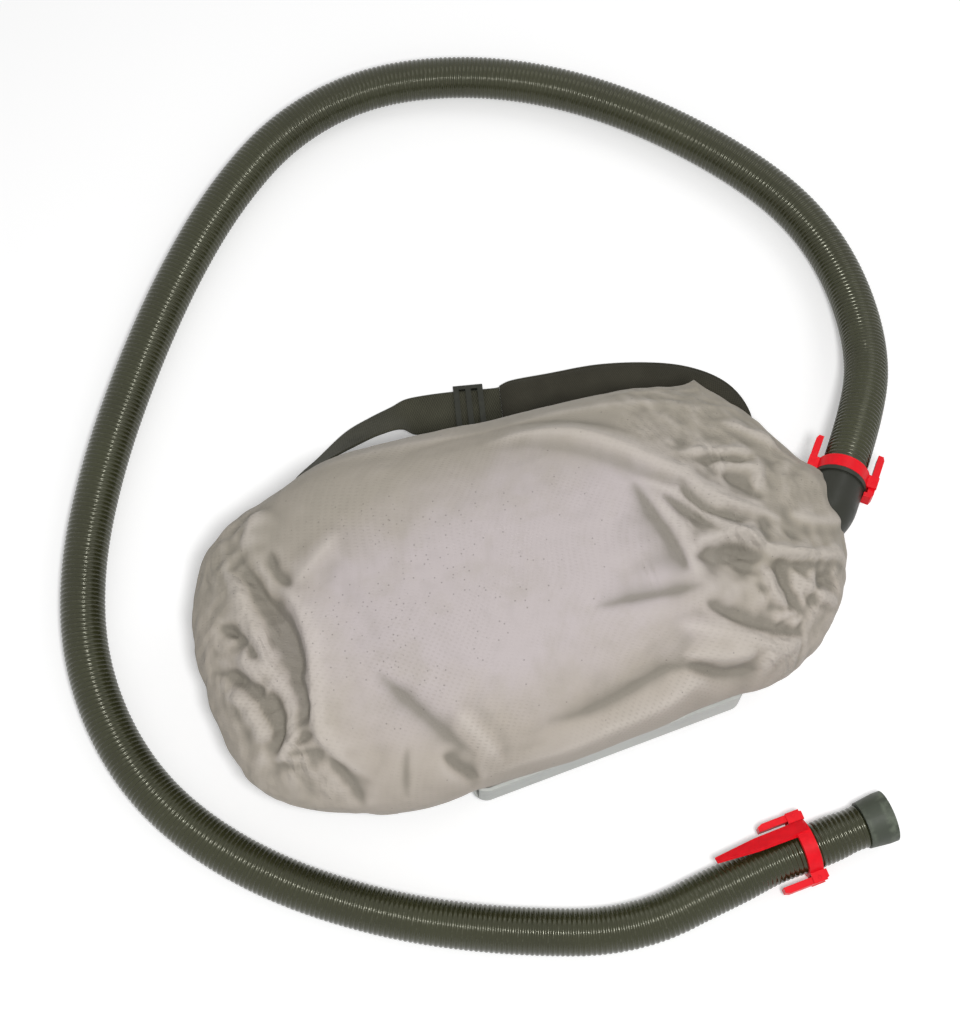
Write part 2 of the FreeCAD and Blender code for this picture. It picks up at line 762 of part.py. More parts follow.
# ---------------------------------------------------------------- inlet, bag and filter
def elbow_wire():
    reach = socket_bend * math.tan(X.getAngle(port_way) / 2)
    start, first = V(inlet_inner_x, inlet_y, inlet_z), port_corner - X * reach
    last = port_corner + port_way * reach
    centre = port_corner + (port_way - X).normalize() * (socket_bend / math.cos(X.getAngle(port_way) / 2))
    middle = centre + (port_corner - centre).normalize() * socket_bend
    return Part.Wire([Part.LineSegment(start, first).toShape(), Part.Arc(first, middle, last).toShape(),
                      Part.LineSegment(last, port_mouth).toShape()])


def elbow_core(radius):
    ring = Part.Wire([Part.Circle(V(inlet_inner_x, inlet_y, inlet_z), X, radius).toShape()])
    return elbow_wire().makePipeShell([ring], True, False)


def inlet_port():
    catch = rod(port_mouth - port_way * catch_width, port_way, socket_outer + catch_rise, catch_width)
    body = joined([elbow_core(socket_outer), catch])
    body = body.cut(elbow_core(hose_bore / 2))
    return body.cut(rod(port_mouth - port_way * socket_depth, port_way, socket_bore, socket_depth))


def inlet_seal():
    start = V(inlet_inner_x - gasket_thick, inlet_y, inlet_z)
    return tube(start, X, socket_outer, hose_bore / 2, gasket_thick)


def bag_collar():
    x = inlet_inner_x - gasket_thick - collar_thick
    half = collar_size / 2
    plate = box(x, x + collar_thick, inlet_y - half, inlet_y + half, inlet_z - half, inlet_z + half)
    return plate.cut(rod(V(x, inlet_y, inlet_z), X, hose_bore / 2, collar_thick))


def bag_section(x, half, low, high, corner, centre_y, inset):
    """A rounded square standing across the bag at x."""
    wire = rounded_loop([(-half, low), (half, low), (half, high), (-half, high)], (corner,) * 4, 0.0, inset)
    return placed(wire, V(x, centre_y, 0), Y, Z)


def bag_solid(inset):
    mouth_x = inlet_inner_x - gasket_thick - collar_thick
    middle = (bag_top + bag_bottom) / 2
    neck = collar_size / 2 - bag_neck_draw
    narrow, low, end_corner = bag_end
    throat_x, throat_half, throat_high, throat_corner = bag_throat
    sections = [
        bag_section(bag_rear_x + inset, bag_half_width - narrow, bag_bottom + low, bag_top - low,
                    end_corner, 0, inset),
        bag_section(bag_rear_x + bag_end_run, bag_half_width, bag_bottom, bag_top, bag_corner, 0, inset),
        bag_section(mouth_x - bag_shoulder, bag_half_width, bag_bottom, bag_top, bag_corner, 0, inset),
        bag_section(mouth_x - throat_x, throat_half, middle - throat_high, middle + throat_high,
                    throat_corner, inlet_y / 2, inset),
        bag_section(mouth_x - 2 * inset, neck, inlet_z - neck, inlet_z + neck, bag_neck_corner, inlet_y,
                    inset)]
    return Part.makeLoft(sections, True, True)


def dust_bag():
    mouth_x = inlet_inner_x - gasket_thick - collar_thick
    bag = bag_solid(0.0).cut(bag_solid(bag_paper))
    return bag.cut(rod(V(mouth_x - bag_mouth, inlet_y, inlet_z), X, hose_bore / 2, bag_mouth))


def bulkhead():
    half = bulkhead_key
    head = rod(V(bulkhead_x, 0, motor_z), X, bulkhead_top, bulkhead_thick)
    foot = box(bulkhead_x, bulkhead_x + bulkhead_thick, -half, half, floor_z + gap, motor_z - bulkhead_drop)
    return joined([head, foot]).cut(rod(V(bulkhead_x, 0, motor_z), X, filter_window, bulkhead_thick))


def filter_frame():
    start = V(bulkhead_x + bulkhead_thick, 0, motor_z)
    outer = filter_radius + gap + retainer_wall
    ring = tube(start, X, outer, filter_radius + gap, filter_thick + gap)
    lip = tube(start + X * (filter_thick + gap), X, outer, filter_window, retainer_wall)
    bars = [box(lip.BoundBox.XMin, lip.BoundBox.XMax, -filter_radius, filter_radius,
                motor_z + z - filter_bar / 2, motor_z + z + filter_bar / 2) for z in filter_bars]
    return joined([ring, lip] + [b.common(rod(start, X, filter_radius, filter_radius)) for b in bars])


def pre_motor_filter():
    return rod(V(bulkhead_x + bulkhead_thick, 0, motor_z), X, filter_radius, filter_thick)


# ---------------------------------------------------------------- motor and fan
motor_x = bulkhead_x - seal_thick     # front face of the motor housing


def back(distance):
    """The point on the motor's axis this far behind its front face."""
    return V(motor_x - distance, 0, motor_z)


def hole_ring(centre, holes):
    """The (centre, radius) of each hole of a ring of holes (count, ring radius, hole radius) round X."""
    count, ring_radius, radius = holes
    turns = [2 * math.pi * step / count for step in range(count)]
    return [(centre + (Y * math.cos(turn) + Z * math.sin(turn)) * ring_radius, radius) for turn in turns]


def motor_seal():
    return tube(V(bulkhead_x, 0, motor_z), -X, motor_radius - seal_draw, filter_window + 1.0, seal_thick)


def motor_housing_front():
    inner = motor_radius - housing_wall
    shell = tube(back(0), -X, motor_radius, inner, housing_front_length)
    face = tube(back(0), -X, inner + sunk, fan_inlet, housing_wall)
    return joined([shell, face])


def motor_housing_rear():
    start, length = housing_front_length, housing_rear_length
    inner = motor_radius - housing_wall
    shell = tube(back(start), -X, motor_radius, inner, length)
    face = rod(back(start + length), X, inner + sunk, housing_wall)
    seat = rod(back(start + length), X, bearing_radius + bearing_seat, bearing_width + housing_wall)
    body = joined([shell, face, seat])
    body = body.cut(rod(back(start + length - housing_wall), X, bearing_radius + run_gap, bearing_width))
    body = body.cut(rod(back(start + length), X, shaft_radius + shaft_clear, housing_wall))
    for spot, radius in hole_ring(back(start + length), exhaust):
        body = body.cut(rod(spot, X, radius, housing_wall))
    return body


def diffuser_x():
    """How far behind the motor's face the diffuser plate starts."""
    return housing_wall + 2 * fan_side_gap + fan_width


def diffuser_plate():
    start = diffuser_x()
    outer = motor_radius - housing_wall - gap
    plate = tube(back(start), -X, outer, bearing_radius + run_gap, diffuser_wall)
    boss = tube(back(start), -X, bearing_radius + bearing_seat, bearing_radius + run_gap, bearing_width)
    plate = joined([plate, boss])
    for spot, radius in hole_ring(back(start), diffuser_holes):
        plate = plate.cut(rod(spot, -X, radius, diffuser_wall))
    return plate


def shaft_ends():
    """How far behind the motor's face the shaft begins and ends."""
    rear = housing_front_length + housing_rear_length - housing_wall
    return housing_wall + fan_side_gap, rear


def motor_bearing(start):
    return tube(back(start), -X, bearing_radius, shaft_radius + run_gap, bearing_width)


def bearing_front():
    return motor_bearing(diffuser_x())


def bearing_rear():
    return motor_bearing(housing_front_length + housing_rear_length - housing_wall - bearing_width)


def stator_start():
    return diffuser_x() + bearing_width + stator_setback


def motor_stator():
    body = tube(back(stator_start()), -X, stator_radius, stator_bore, stator_length)
    reach = motor_radius - housing_wall - gap - stator_radius + lug_root
    lug = box(0, reach, -stator_lug / 2, stator_lug / 2, 0, stator_length)
    lugs = []
    for angle in (math.radians(45 + 90 * step) for step in range(4)):
        way = Y * math.cos(angle) + Z * math.sin(angle)
        lugs.append(placed(lug, back(stator_start()) + way * (stator_radius - lug_root), way, way.cross(X)))
    return joined([body] + lugs)


def motor_rotor():
    start, end = shaft_ends()
    shaft = rod(back(start), -X, shaft_radius, end - start)
    core = rod(back(stator_start()), -X, rotor_radius, stator_length)
    return joined([shaft, core])


def fan_impeller():
    """Two discs with swept blades between them, open at the front eye, and a hub bored for the shaft."""
    disc, eye, tip = fan_disc, fan_inlet - fan_eye_draw, fan_radius - 1.0
    front = back(housing_wall + fan_side_gap)
    rear_disc = rod(front - X * (fan_width - disc), -X, fan_radius, disc)
    front_disc = tube(front, -X, fan_radius, eye, disc)
    hub = rod(front, -X, shaft_radius + fan_hub_wall, fan_width)
    blades = []
    for step in range(fan_blades):
        angle = 2 * math.pi * step / fan_blades
        bend = angle + blade_sweep
        inner = V(0, eye * math.cos(angle), eye * math.sin(angle))
        outer = V(0, tip * math.cos(bend), tip * math.sin(bend))
        way = (outer - inner).normalize()
        half = blade_thick / 2
        blade = box(0, (outer - inner).Length, 0, fan_width - 2 * blade_trim, -half, half)
        blades.append(placed(blade, front - X * blade_trim + inner, way, -X))
    fan = joined([rear_disc, front_disc, hub] + blades)
    return fan.cut(rod(front, -X, shaft_radius, fan_width))


def motor_mount(x):
    return tube(V(x - mount_width / 2, 0, motor_z), X, mount_outer(), motor_radius + gap, mount_width)


def motor_mount_front():
    return motor_mount(saddle_places()[0])


def motor_mount_rear():
    return motor_mount(saddle_places()[1])


def motor_clamps():
    """A steel band over each mount, with a foot on each end of its saddle."""
    inner, low = mount_outer() + gap, saddle_top + gap
    foot_y = math.sqrt((inner + clamp_wall) ** 2 - (motor_z - low) ** 2)
    bands = []
    for x in saddle_places():
        start, half = V(x - saddle_width / 2, 0, motor_z), saddle_width / 2
        band = tube(start, X, inner + clamp_wall, inner, saddle_width)
        band = band.cut(box(x - mount_width, x + mount_width, -2 * inner, 2 * inner, 0, low))
        feet = []
        for side in (-1, 1):
            near, far = sorted((side * (foot_y - clamp_foot_root), side * (foot_y + clamp_foot)))
            foot = box(x - half, x + half, near, far, low, low + clamp_wall)
            feet.append(foot.cut(rod(start, X, inner, saddle_width)))
        bands.append(joined([band] + feet))
    return Part.makeCompound(bands)


# ---------------------------------------------------------------- battery and electrics
def battery_pack():
    long_way, wide, high = battery_size
    block = box(battery_x, battery_x + long_way, -wide / 2, wide / 2, floor_z, floor_z + high)
    upright = [e for e in block.Edges if abs(e.tangentAt(e.FirstParameter).z) > 0.9]
    return block.makeFillet(battery_corner, upright)


def battery_strap():
    """A band over the battery with two feet on the shell's floor."""
    long_way, wide, high = battery_size
    x0 = battery_x + (long_way - strap_band) / 2
    x1 = x0 + strap_band
    half = wide / 2 + gap
    top = floor_z + high + gap
    hoop_box = box(x0, x1, -half - strap_wall, half + strap_wall, floor_z, top + strap_wall)
    hoop_box = hoop_box.cut(box(x0, x1, -half, half, floor_z, top))
    feet = [box(x0, x1, *sorted((side * half, side * (half + strap_foot))), floor_z, floor_z + strap_wall)
            for side in (-1, 1)]
    return joined([hoop_box] + feet)


def control_board():
    x0, y0 = board_corner
    z = floor_z + board_lift
    board = box(x0, x0 + board_size[0], y0, y0 + board_size[1], z, z + board_size[2])
    top = z + board_size[2] - solder
    lumps = [box(x0 + a, x0 + b, y0 + c, y0 + d, top, top + high)
             for a, b, c, d, high in (coil_box, relay_box)]
    across, along, radius, high = capacitor
    board = joined([board, rod(V(x0 + across, y0 + along, top), Z, radius, high)] + lumps)
    for x, y in standoff_places():
        board = board.cut(rod(V(x, y, z), Z, pilot_radius + gap, board_size[2]))
    return board


def board_screws():
    z = floor_z + board_lift + board_size[2]
    head_radius, head, shank = board_screw
    radius = pilot_radius - run_gap
    screws = [joined([rod(V(x, y, z), Z, head_radius, head), rod(V(x, y, z - shank), Z, radius, shank)])
              for x, y in standoff_places()]
    return Part.makeCompound(screws)


def switch_housing():
    half_long, half_high = button_hole[0] / 2, button_hole[1] / 2
    face = wing_width / 2 - plate_wall
    rear = face - switch_depth
    block = box(button_x - half_long - switch_rim, button_x + half_long + switch_rim, rear, face,
                button_z - half_high - switch_rim, button_z + half_high + switch_rim)
    return block.cut(box(button_x - half_long, button_x + half_long, rear + switch_back, face,
                         button_z - half_high, button_z + half_high))


def power_button():
    face = wing_width / 2
    rear = face - plate_wall - switch_depth + switch_back + button_travel + gap
    key = box(button_x - button_size[0] / 2, button_x + button_size[0] / 2, rear, face + button_stand,
              button_z - button_size[1] / 2, button_z + button_size[1] / 2)
    outer = [e for e in key.Edges if e.BoundBox.YMin > face]
    return key.makeFillet(key_round, outer)


def charge_socket():
    face = V(charge_x, wing_width / 2, button_z)
    reach, high = charge_lip
    barrel = rod(face, -Y, charge_radius, charge_depth)
    body = joined([barrel, tube(face, Y, charge_radius + reach, charge_bore, high)])
    seat = charge_depth - charge_back
    body = body.cut(rod(face, -Y, charge_bore, seat))
    return joined([body, rod(face - Y * seat, Y, *charge_pin)])


# ---------------------------------------------------------------- hose, cuffs, lock rings
def ring_hoop(centre, way, up, bore):
    """A lock ring: a band with a pair of drilled cheeks on each side."""
    side = up.cross(way)
    band = tube(centre - way * (band_width / 2), way, band_outer / 2, bore, band_width)
    ears = []
    ear_top = pivot_radius + pin_radius + ear_cap
    inner = lever_width / 2 + gap
    for edge in (-1, 1):
        low, high = sorted((edge * inner, edge * (inner + ear_wall)))
        ear = box(-band_width / 2, band_width / 2, low, high, band_outer / 2 - ear_root, ear_top)
        ears += [placed(ear, centre, way, up), placed(ear, centre, way, -up)]
    ring = joined([band] + ears)
    span = 2 * (inner + ear_wall)
    for face in (-1, 1):
        start = centre + side * (face * pivot_radius) - up * (span / 2)
        ring = ring.cut(rod(start, up, pin_radius + run_gap, span))
    return ring.cut(rod(centre - way * band_width, way, bore, 2 * band_width))


def ring_pins(centre, way, up):
    side = up.cross(way)
    length = lever_width + 2 * (gap + ear_wall)
    starts = [centre + side * (face * pivot_radius) - up * (length / 2) for face in (-1, 1)]
    return Part.makeCompound([rod(start, up, pin_radius, length) for start in starts])


def latch_lever(centre, way, out, hook, catch_back):
    """A rocker on a ring's pin: a press tab towards +way and a hook towards -way, hollow up to catch_back."""
    inner, outer = pivot_radius - lever_thick / 2, pivot_radius + lever_thick / 2
    hook_in = socket_outer + gap
    profile = [(-hook, hook_in), (-catch_back, hook_in), (-catch_back, inner), (lever_tab, inner),
               (lever_tab, outer - lever_bevel), (lever_tab - bevel_run, outer), (bevel_run - hook, outer),
               (-hook, outer - lever_bevel)]
    points = [V(a, 0, r) for a, r in profile]
    face = Part.Face(Part.makePolygon(points + points[:1]))
    lever = face.extrude(Y * lever_width)
    lever.translate(-Y * (lever_width / 2))
    lever = lever.cut(rod(V(0, -lever_width, pivot_radius), Y, pin_radius + run_gap, 2 * lever_width))
    return placed(lever, centre, way, out.cross(way))


def body_lever(out):
    """A lever whose hook holds the collar round the port's mouth."""
    return latch_lever(body_ring_centre, port_way, out, lever_hook, band_width / 2 + 2 * gap + catch_width)


def tool_lever(out):
    """A parked lever: its nose just holds the band's edge."""
    return latch_lever(tool_ring_centre, -tool_way, out, lever_nose, band_width / 2 + gap)


body_ring_centre = port_mouth + port_way * (gap + band_width / 2)
hose_start = port_mouth + port_way * cuff_stand
body_side = Z.cross(port_way).normalize()
body_up = port_way.cross(body_side)
hose_end = V(*hose_route[-1])
tool_ring_centre = hose_end - tool_way * (ring_setback + band_width / 2)


def lock_ring_body():
    return ring_hoop(body_ring_centre, port_way, body_up, hose_outer / 2 + gap)


def lock_ring_tool():
    """The same ring on the tool end, with a long tongue lying back along the top of the hose."""
    ring = ring_hoop(tool_ring_centre, tool_way, Z, hose_outer / 2 + gap)
    lean = math.radians(tongue_lean)
    across = Y * math.cos(lean) - Z * math.sin(lean)
    low = hose_outer / 2 + gap
    thick = low + tongue_thick + tongue_step
    side = [V(-tongue_length, 0, low + tongue_rise), V(tongue_root, 0, low), V(tongue_root, 0, thick),
            V(-band_width, 0, thick), V(-tongue_length, 0, low + tongue_rise + tongue_thick)]
    tongue = Part.Face(Part.makePolygon(side + side[:1])).extrude(Y * tongue_width)
    tongue.translate(-Y * (tongue_width / 2))
    half, tip = tongue_width / 2, tongue_tip / 2
    plan = [V(tongue_root, -half, 0), V(tongue_root, half, 0), V(-tongue_straight, half, 0),
            V(-tongue_length, tip, 0), V(-tongue_length, -tip, 0), V(-tongue_straight, -half, 0)]
    tongue = tongue.common(Part.Face(Part.makePolygon(plan + plan[:1])).extrude(Z * (2 * low)))
    ring = joined([ring, placed(tongue, tool_ring_centre, tool_way, across)])
    return ring.cut(rod(tool_ring_centre - tool_way * band_width, tool_way, low, 2 * band_width))


def lock_ring_pins():
    return Part.makeCompound(ring_pins(body_ring_centre, port_way, body_up).Solids
                             + ring_pins(tool_ring_centre, tool_way, Z).Solids)


def body_latch_left():
    return body_lever(body_side)


def body_latch_right():
    return body_lever(-body_side)


def tool_latch_far():
    return tool_lever(Y)


def tool_latch_near():
    return tool_lever(-Y)


def hose_cuff_body():
    return tube(hose_start, -port_way, hose_outer / 2, hose_bore / 2, cuff_stand + cuff_seat)


def hose_cuff_tool():
    """A flared cuff that turns on the hose's end, its mouth bored for a wand."""
    start, end = hose_end + tool_way * gap, hose_end + tool_way * (gap + tool_cuff_length)
    taper = tool_cuff_length - cuff_mouth
    neck = Part.makeCone(tool_cuff_neck / 2, tool_cuff_outer / 2, taper, start, tool_way)
    mouth = rod(end - tool_way * cuff_mouth, tool_way, tool_cuff_outer / 2, cuff_mouth)
    cuff = joined([neck, mouth])
    cuff = cuff.cut(rod(start, tool_way, hose_bore / 2, tool_cuff_length))
    cuff = cuff.cut(rod(end - tool_way * wand_depth, tool_way, wand_bore / 2, wand_depth))
    outer = hose_bore / 2 - gap
    spigot = tube(start - tool_way * tool_spigot, tool_way, outer, outer - spigot_wall, tool_spigot)
    step = tube(start, tool_way, outer + cuff_step, outer - spigot_wall, cuff_step)
    return joined([cuff, spigot, step])


def hose_points():
    first = hose_start + port_way * hose_first_run
    return [hose_start, first] + [V(*p) for p in hose_route]


def suction_hose():
    """A ribbed tube along the route: a bore, plain ends, and ribs with valleys between them."""
    pieces, radii = route_pieces(hose_points())
    total = sum(piece_length(p) for p in pieces)
    print("hose length", round(total, 1), "arc radii", [round(r) for r in radii])
    outer, valley = hose_outer / 2, hose_valley / 2
    pitch = (total - 2 * hose_plain) / rib_count
    distances, sizes = [0.0, hose_plain], [outer, outer]
    for index in range(rib_count):
        base = hose_plain + index * pitch
        distances += [base + share * pitch for share in rib_shares]
        sizes += [valley, outer, outer, valley]
    distances += [total - hose_plain, total]
    sizes += [outer, outer]
    spots = stations(pieces, distances)
    rings = [ring_wire(point, way, radius) for (point, way), radius in zip(spots, sizes)]
    skin = Part.makeLoft(rings, True, True)
    bores = [ring_wire(point, way, hose_bore / 2) for point, way in
             stations(pieces, [total * i / bore_steps for i in range(bore_steps + 1)])]
    bore = Part.makeLoft(bores, True, True)
    hose = skin.cut(bore)
    sections = list(zip(distances, sizes))
    solid = sum((b - a) * (r * r + r * s + s * s) / 3 for (a, r), (b, s) in zip(sections, sections[1:]))
    by_length = math.pi * (solid - total * hose_bore ** 2 / 4)
    print("hose volume", round(hose.Volume), "section times length", round(by_length), hose.isValid())
    return hose


# ---------------------------------------------------------------- writing the nodes
nodes = [
    harness_plate, strap_clamp_plates, harness_screws, strap_webbing_far_upper, strap_webbing_far_lower,
    strap_webbing_near_upper, strap_webbing_near_lower, shoulder_pad_far, shoulder_pad_near,
    base_shell, cover_frame, hem_elastic, filter_cover, inlet_port, inlet_seal, bag_collar, dust_bag,
    bulkhead, filter_frame, pre_motor_filter, motor_seal, motor_housing_front, motor_housing_rear,
    diffuser_plate, bearing_front, bearing_rear, motor_stator, motor_rotor, fan_impeller,
    motor_mount_front, motor_mount_rear, motor_clamps, battery_pack, battery_strap, control_board,
    board_screws, switch_housing, power_button, charge_socket, lock_ring_body, lock_ring_tool,
    lock_ring_pins, body_latch_left, body_latch_right, tool_latch_far, tool_latch_near,
    hose_cuff_body, hose_cuff_tool, suction_hose,
]


def write(name, shape):
    if not shape.isValid():
        print("not valid:", name)
    shape.exportStep("parts/" + name + ".step")


os.makedirs("parts", exist_ok=True)
for make in nodes:
    write(make.__name__, make())
write("back_pad_upper", back_pad(upper_span))
write("back_pad_lumbar", back_pad(lumbar_span))
write("strap_slider_far", strap_slider(far_slider, far_slider_turn))
write("strap_slider_near", strap_slider(near_slider, 180.0))
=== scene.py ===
"""The dressed model of a soft-covered backpack vacuum cleaner, lying on its harness with its hose round it.

Everything is in metres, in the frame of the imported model: +X towards the inlet end, +Z up.
"""
import bpy
import json
import numpy as np
from math import atan2, cos, exp, hypot, pi, radians, sin, sqrt, tan
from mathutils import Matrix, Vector, noise
from mathutils.bvhtree import BVHTree


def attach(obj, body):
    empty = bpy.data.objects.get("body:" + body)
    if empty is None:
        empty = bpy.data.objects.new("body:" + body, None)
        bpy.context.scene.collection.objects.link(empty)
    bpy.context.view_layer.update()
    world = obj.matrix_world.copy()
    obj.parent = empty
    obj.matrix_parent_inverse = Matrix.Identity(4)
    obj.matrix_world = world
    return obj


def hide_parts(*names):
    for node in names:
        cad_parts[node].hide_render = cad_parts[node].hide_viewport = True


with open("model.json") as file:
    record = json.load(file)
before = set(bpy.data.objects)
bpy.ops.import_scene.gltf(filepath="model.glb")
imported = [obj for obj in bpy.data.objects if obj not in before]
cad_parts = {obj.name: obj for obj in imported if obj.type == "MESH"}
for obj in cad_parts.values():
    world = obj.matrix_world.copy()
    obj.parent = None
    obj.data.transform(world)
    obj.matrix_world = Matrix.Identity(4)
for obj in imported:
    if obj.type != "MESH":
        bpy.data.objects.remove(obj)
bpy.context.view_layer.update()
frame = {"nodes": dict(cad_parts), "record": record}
scene = bpy.context.scene
ROOT = "backpack"


# ======== camera and light
def add_object(name, data):
    made = bpy.data.objects.new(name, data)
    scene.collection.objects.link(made)
    return made


def add_camera():
    elevation, azimuth = radians(70), radians(-20.8)
    target, distance = Vector((0.005, 0.114, 0)), 1.796
    back = Vector((sin(azimuth) * cos(elevation), -cos(azimuth) * cos(elevation), sin(elevation)))
    data = bpy.data.cameras.new("camera")
    data.lens, data.sensor_width, data.clip_start = 70.9, 36, 0.05
    camera = add_object("camera", data)
    camera.location = target + back * distance
    camera.rotation_euler = back.to_track_quat("Z", "Y").to_euler()
    scene.camera = camera


def add_softbox(name, place, aim, size, watts):
    data = bpy.data.lights.new(name, "AREA")
    data.shape, data.size, data.energy = "DISK", size, watts
    light = add_object(name, data)
    light.location = place
    light.rotation_euler = (Vector(place) - Vector(aim)).to_track_quat("Z", "Y").to_euler()


# ======== node helpers
def shade(colour, factor):
    return tuple(min(1, c * factor) for c in colour[:3]) + (1,)


class Nodes:
    """Short names for building a node tree: inputs are other nodes' output sockets or plain values."""

    def __init__(self, tree):
        self.tree = tree

    def fill(self, made, inputs):
        for key, value in inputs.items():
            if isinstance(value, bpy.types.NodeSocket):
                self.tree.links.new(value, made.inputs[key])
            else:
                made.inputs[key].default_value = value

    def node(self, kind, inputs=None, **settings):
        made = self.tree.nodes.new("ShaderNode" + kind)
        for key, value in settings.items():
            setattr(made, key, value)
        self.fill(made, inputs or {})
        return made

    def maths(self, operation, a, b=0, c=0):
        return self.node("Math", {0: a, 1: b, 2: c}, operation=operation).outputs[0]

    def times(self, a, b):
        return self.maths("MULTIPLY", a, b)

    def mix(self, share, low, high):
        return self.node("Mix", {0: share, 6: low, 7: high}, data_type="RGBA").outputs[2]

    def ramp(self, value, low, high, out_low=0, out_high=1):
        return self.node("MapRange", {0: value, 1: low, 2: high, 3: out_low, 4: out_high}, clamp=True).outputs[0]

    def split(self, value):
        return self.node("SeparateXYZ", {0: value}).outputs

    def mapped(self, place, **inputs):
        return self.node("Mapping", {"Vector": place, **inputs}).outputs[0]


class Surface(Nodes):
    """A material in the making, with its shader; its place is fixed to the piece."""

    def __init__(self, name):
        self.material = bpy.data.materials.new(name)
        self.material.use_nodes = True
        super().__init__(self.material.node_tree)
        self.tree.nodes.clear()
        self.shader = self.node("BsdfPrincipled")
        self.node("OutputMaterial", {0: self.shader.outputs[0]})
        self.place = self.node("TexCoord").outputs["Object"]

    def noise(self, scale, detail, rough=0.55, place=None):
        inputs = {"Vector": place or self.place, "Scale": scale, "Detail": detail, "Roughness": rough}
        return self.node("TexNoise", inputs).outputs[0]

    def warp(self, place, share, scale, detail):
        """The place, bent by noise."""
        bent = self.node("TexNoise", {"Vector": place, "Scale": scale, "Detail": detail}).outputs[1]
        return self.node("Mix", {0: share, 4: place, 5: bent}, data_type="VECTOR").outputs[1]

    def weave(self):
        """The piece's own UV directions, in metres."""
        return self.node("UVMap", uv_map="weave").outputs[0]

    def pointed(self):
        return self.node("NewGeometry").outputs["Pointiness"]

    def bump(self, height, distance, strength, normal=None):
        inputs = {"Height": height, "Distance": distance, "Strength": strength}
        if normal is not None:
            inputs["Normal"] = normal
        return self.node("Bump", inputs).outputs[0]

    def finish(self, **sockets):
        """Fills the shader's sockets, with _ for a space in their names."""
        self.fill(self.shader, {name.replace("_", " "): value for name, value in sockets.items()})
        return self.material


# ======== materials
def plastic(name, colour, roughness, grain=0.00003, grain_scale=900, wear=1.25, soft_edge=0.0005, gloss=0.4):
    """Moulded plastic: fine grain, cloudy wear, rounded and slightly paler edges."""
    mat = Surface(name)
    ramp = mat.ramp
    cloud, fine = mat.noise(18, 5), mat.noise(160, 4)
    base = mat.mix(ramp(cloud, 0.35, 0.7), shade(colour, 0.9), shade(colour, 1.08))
    worn = mat.times(ramp(mat.pointed(), 0.505, 0.56), ramp(fine, 0.4, 0.65))
    rounded = mat.node("Bevel", {"Radius": soft_edge}, samples=4).outputs[0]
    return mat.finish(
        Base_Color=mat.mix(worn, base, shade(colour, wear)),
        Roughness=ramp(fine, 0.3, 0.7, roughness - 0.07, roughness + 0.09),
        Specular_IOR_Level=gloss,
        Normal=mat.bump(mat.noise(grain_scale, 2), grain, 0.6, rounded))


def metal(name, colour, roughness):
    """Brushed metal, with its streaks along X."""
    mat = Surface(name)
    brushed = mat.noise(1, 3, place=mat.mapped(mat.place, Scale=(40, 600, 600)))
    return mat.finish(
        Base_Color=mat.mix(brushed, shade(colour, 0.85), shade(colour, 1.1)),
        Roughness=mat.ramp(brushed, 0.3, 0.7, roughness - 0.08, roughness + 0.1),
        Metallic=1,
        Normal=mat.bump(brushed, 0.00003, 0.5))


def woven(name, dark, light, pitch, roughness=0.85, relief=0.00025):
    """Padded cloth or webbing: crossed yarns along the piece's own UV directions."""
    mat = Surface(name)
    along, across = mat.split(mat.weave())[:2]
    turn = 2 * pi / pitch
    warp = mat.maths("SINE", mat.times(along, turn))
    weft = mat.maths("SINE", mat.times(across, turn * 0.5))
    yarn = mat.maths("MULTIPLY_ADD", mat.times(warp, weft), 0.5, 0.5)
    cloud, fuzz = mat.noise(30, 4), mat.noise(1400, 2)
    tone = mat.maths("MULTIPLY_ADD", cloud, 0.5, mat.times(yarn, 0.35))
    tone = mat.maths("MULTIPLY_ADD", fuzz, 0.3, tone)
    height = mat.maths("MULTIPLY_ADD", fuzz, 0.25, yarn)
    return mat.finish(
        Base_Color=mat.mix(mat.ramp(tone, 0.3, 0.85), dark, light),
        Roughness=roughness, Specular_IOR_Level=0.2, Sheen_Weight=0.05, Sheen_Roughness=0.5,
        Normal=mat.bump(height, relief, 0.9))


dash_slant, dash_rows, dash_pitch = radians(34), 0.0031, 0.0052  # the cover cloth's embossed dashes


def embossed_dashes(mat):
    """Slanted rows of short dashes, fainter in patches."""
    ramp, bent = mat.ramp, mat.warp(mat.weave(), 0.004, 22, 2)
    along, across = mat.split(mat.mapped(bent, Rotation=(0, 0, dash_slant)))[:2]
    rows = mat.maths("SINE", mat.times(across, 2 * pi / dash_rows))
    dashes = mat.maths("SINE", mat.times(along, 2 * pi / dash_pitch))
    dots = mat.times(ramp(rows, -0.1, 0.75), ramp(dashes, -0.35, 0.5))
    return mat.times(dots, ramp(mat.noise(16, 4), 0.38, 0.62, 0.25, 1.15))


def squared_reach(mat, x, y, centre, radii):
    """The squared distance from an ellipse's centre on the plan, 1 on the ellipse."""
    parts = []
    for value, middle, radius in zip((x, y), centre, radii):
        part = mat.maths("DIVIDE", mat.maths("SUBTRACT", value, middle), radius)
        parts.append(mat.times(part, part))
    return mat.maths("ADD", *parts)


def dust_specks(mat, x, y):
    """Dark specks in the cells of a fine mesh, most of them near one place of the middle."""
    grime = mat.node("TexVoronoi", {"Vector": mat.place, "Scale": 230, "Randomness": 1})
    lucky = mat.split(grime.outputs["Color"])[0]
    far = squared_reach(mat, x, y, (-0.1, 0.01), (0.13, 0.1))
    chance = mat.ramp(far, 0, 1.2, 0.75, 0.06)
    return mat.times(mat.maths("LESS_THAN", lucky, chance), mat.ramp(grime.outputs["Distance"], 0.21, 0.08))


